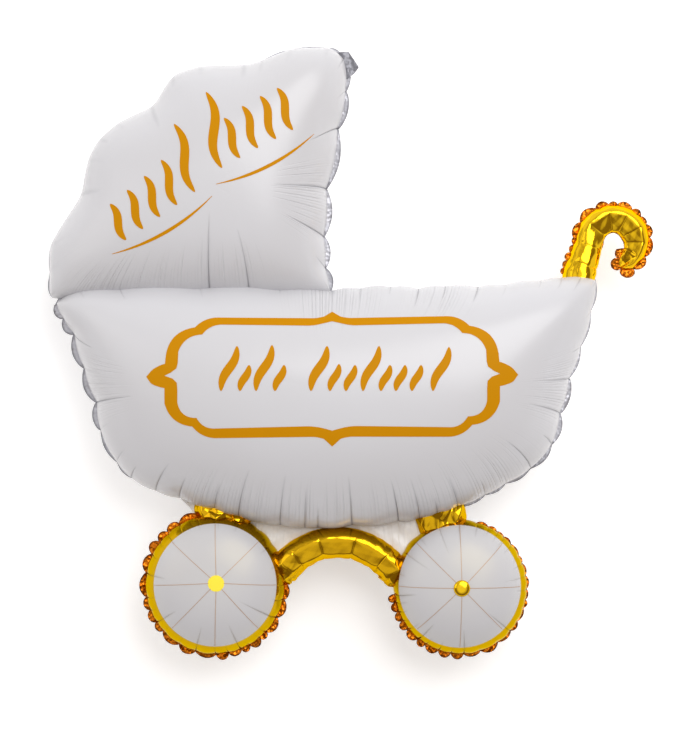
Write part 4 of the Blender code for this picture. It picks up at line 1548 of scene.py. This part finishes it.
# %% Floor, light and camera
FLOOR_SIZE, FLOOR_GLOW = 60.0, 0.28
WALL, DARK, CEILING = (1.0, 1.0, 1.01), (0.24, 0.19, 0.15), (1.0, 1.0, 1.02)
NORTH = (1.03, 1.03, 1.03)
SENSOR = 36.0


def floor():
    mesh = bpy.data.meshes.new("floor")
    half = FLOOR_SIZE / 2
    level = FLOOR_LEVEL - 0.0005
    corners = [(-half, -half, level), (half, -half, level), (half, half, level), (-half, half, level)]
    mesh.from_pydata(corners, [], [(0, 1, 2, 3)])
    obj = new_object("floor", mesh)
    material = new_material(
        "floor_paper", Base_Color=(0.94, 0.94, 0.94), Roughness=0.9, Specular_IOR_Level=0.1,
        Emission_Color=(1.0, 1.0, 1.0), Emission_Strength=FLOOR_GLOW)[0]
    obj.data.materials.append(material)


def soft_light(name, place, size, power):
    data = bpy.data.lights.new(name, "AREA")
    data.size, data.energy = size, power
    obj = new_object(name, data)
    obj.location = place
    towards = -np.array(place)
    obj.rotation_euler = (math.atan2(math.hypot(*towards[:2]), -towards[2]), 0,
                          math.atan2(towards[0], -towards[1]) + math.pi)


def world():
    """Bright near the horizon, dim and warm halfway up, bright overhead and to the north."""
    sky = bpy.data.worlds.new("studio")
    sky.use_nodes = True
    tree = sky.node_tree
    way = add_node(tree, "ShaderNodeTexCoord").outputs["Generated"]
    apart = add_node(tree, "ShaderNodeSeparateXYZ", Vector=way).outputs
    ramp = add_node(tree, "ShaderNodeValToRGB", Fac=apart["Z"])
    stops = ((0.0, WALL), (0.30, WALL), (0.44, DARK), (0.82, DARK), (0.95, CEILING),
             (1.0, CEILING))
    for place_on, color in stops[1:-1]:
        ramp.color_ramp.elements.new(place_on).color = (*color, 1)
    ramp.color_ramp.elements[0].color = (*stops[0][1], 1)
    ramp.color_ramp.elements[-1].color = (*stops[-1][1], 1)
    north = mapped(tree, apart["Y"], From_Min=0.05, From_Max=0.75)
    color = moved_to(tree, ramp.outputs["Color"], north, 0.8, NORTH)
    background = tree.nodes["Background"]
    put_in(tree, background.inputs["Color"], color)
    put_in(tree, background.inputs["Strength"], 1.0)
    bpy.context.scene.world = sky


def camera():
    data = bpy.data.cameras.new("camera")
    data.sensor_width = SENSOR
    data.lens = SENSOR * CAMERA_DISTANCE / (IMAGE_HEIGHT * METRES_A_PIXEL)
    obj = new_object("camera", data)
    obj.location = (*PHOTO_MIDDLE, SEAM_LEVEL + CAMERA_DISTANCE)
    bpy.context.scene.camera = obj
    print("lens", round(data.lens, 1), "mm")


floor()
soft_light("key", (1.0, 1.3, 2.9), 2.2, 58.0)
soft_light("fill", (-1.9, 0.4, 1.9), 1.6, 9.0)
world()
camera()
bpy.context.scene.view_settings.view_transform = "Standard"
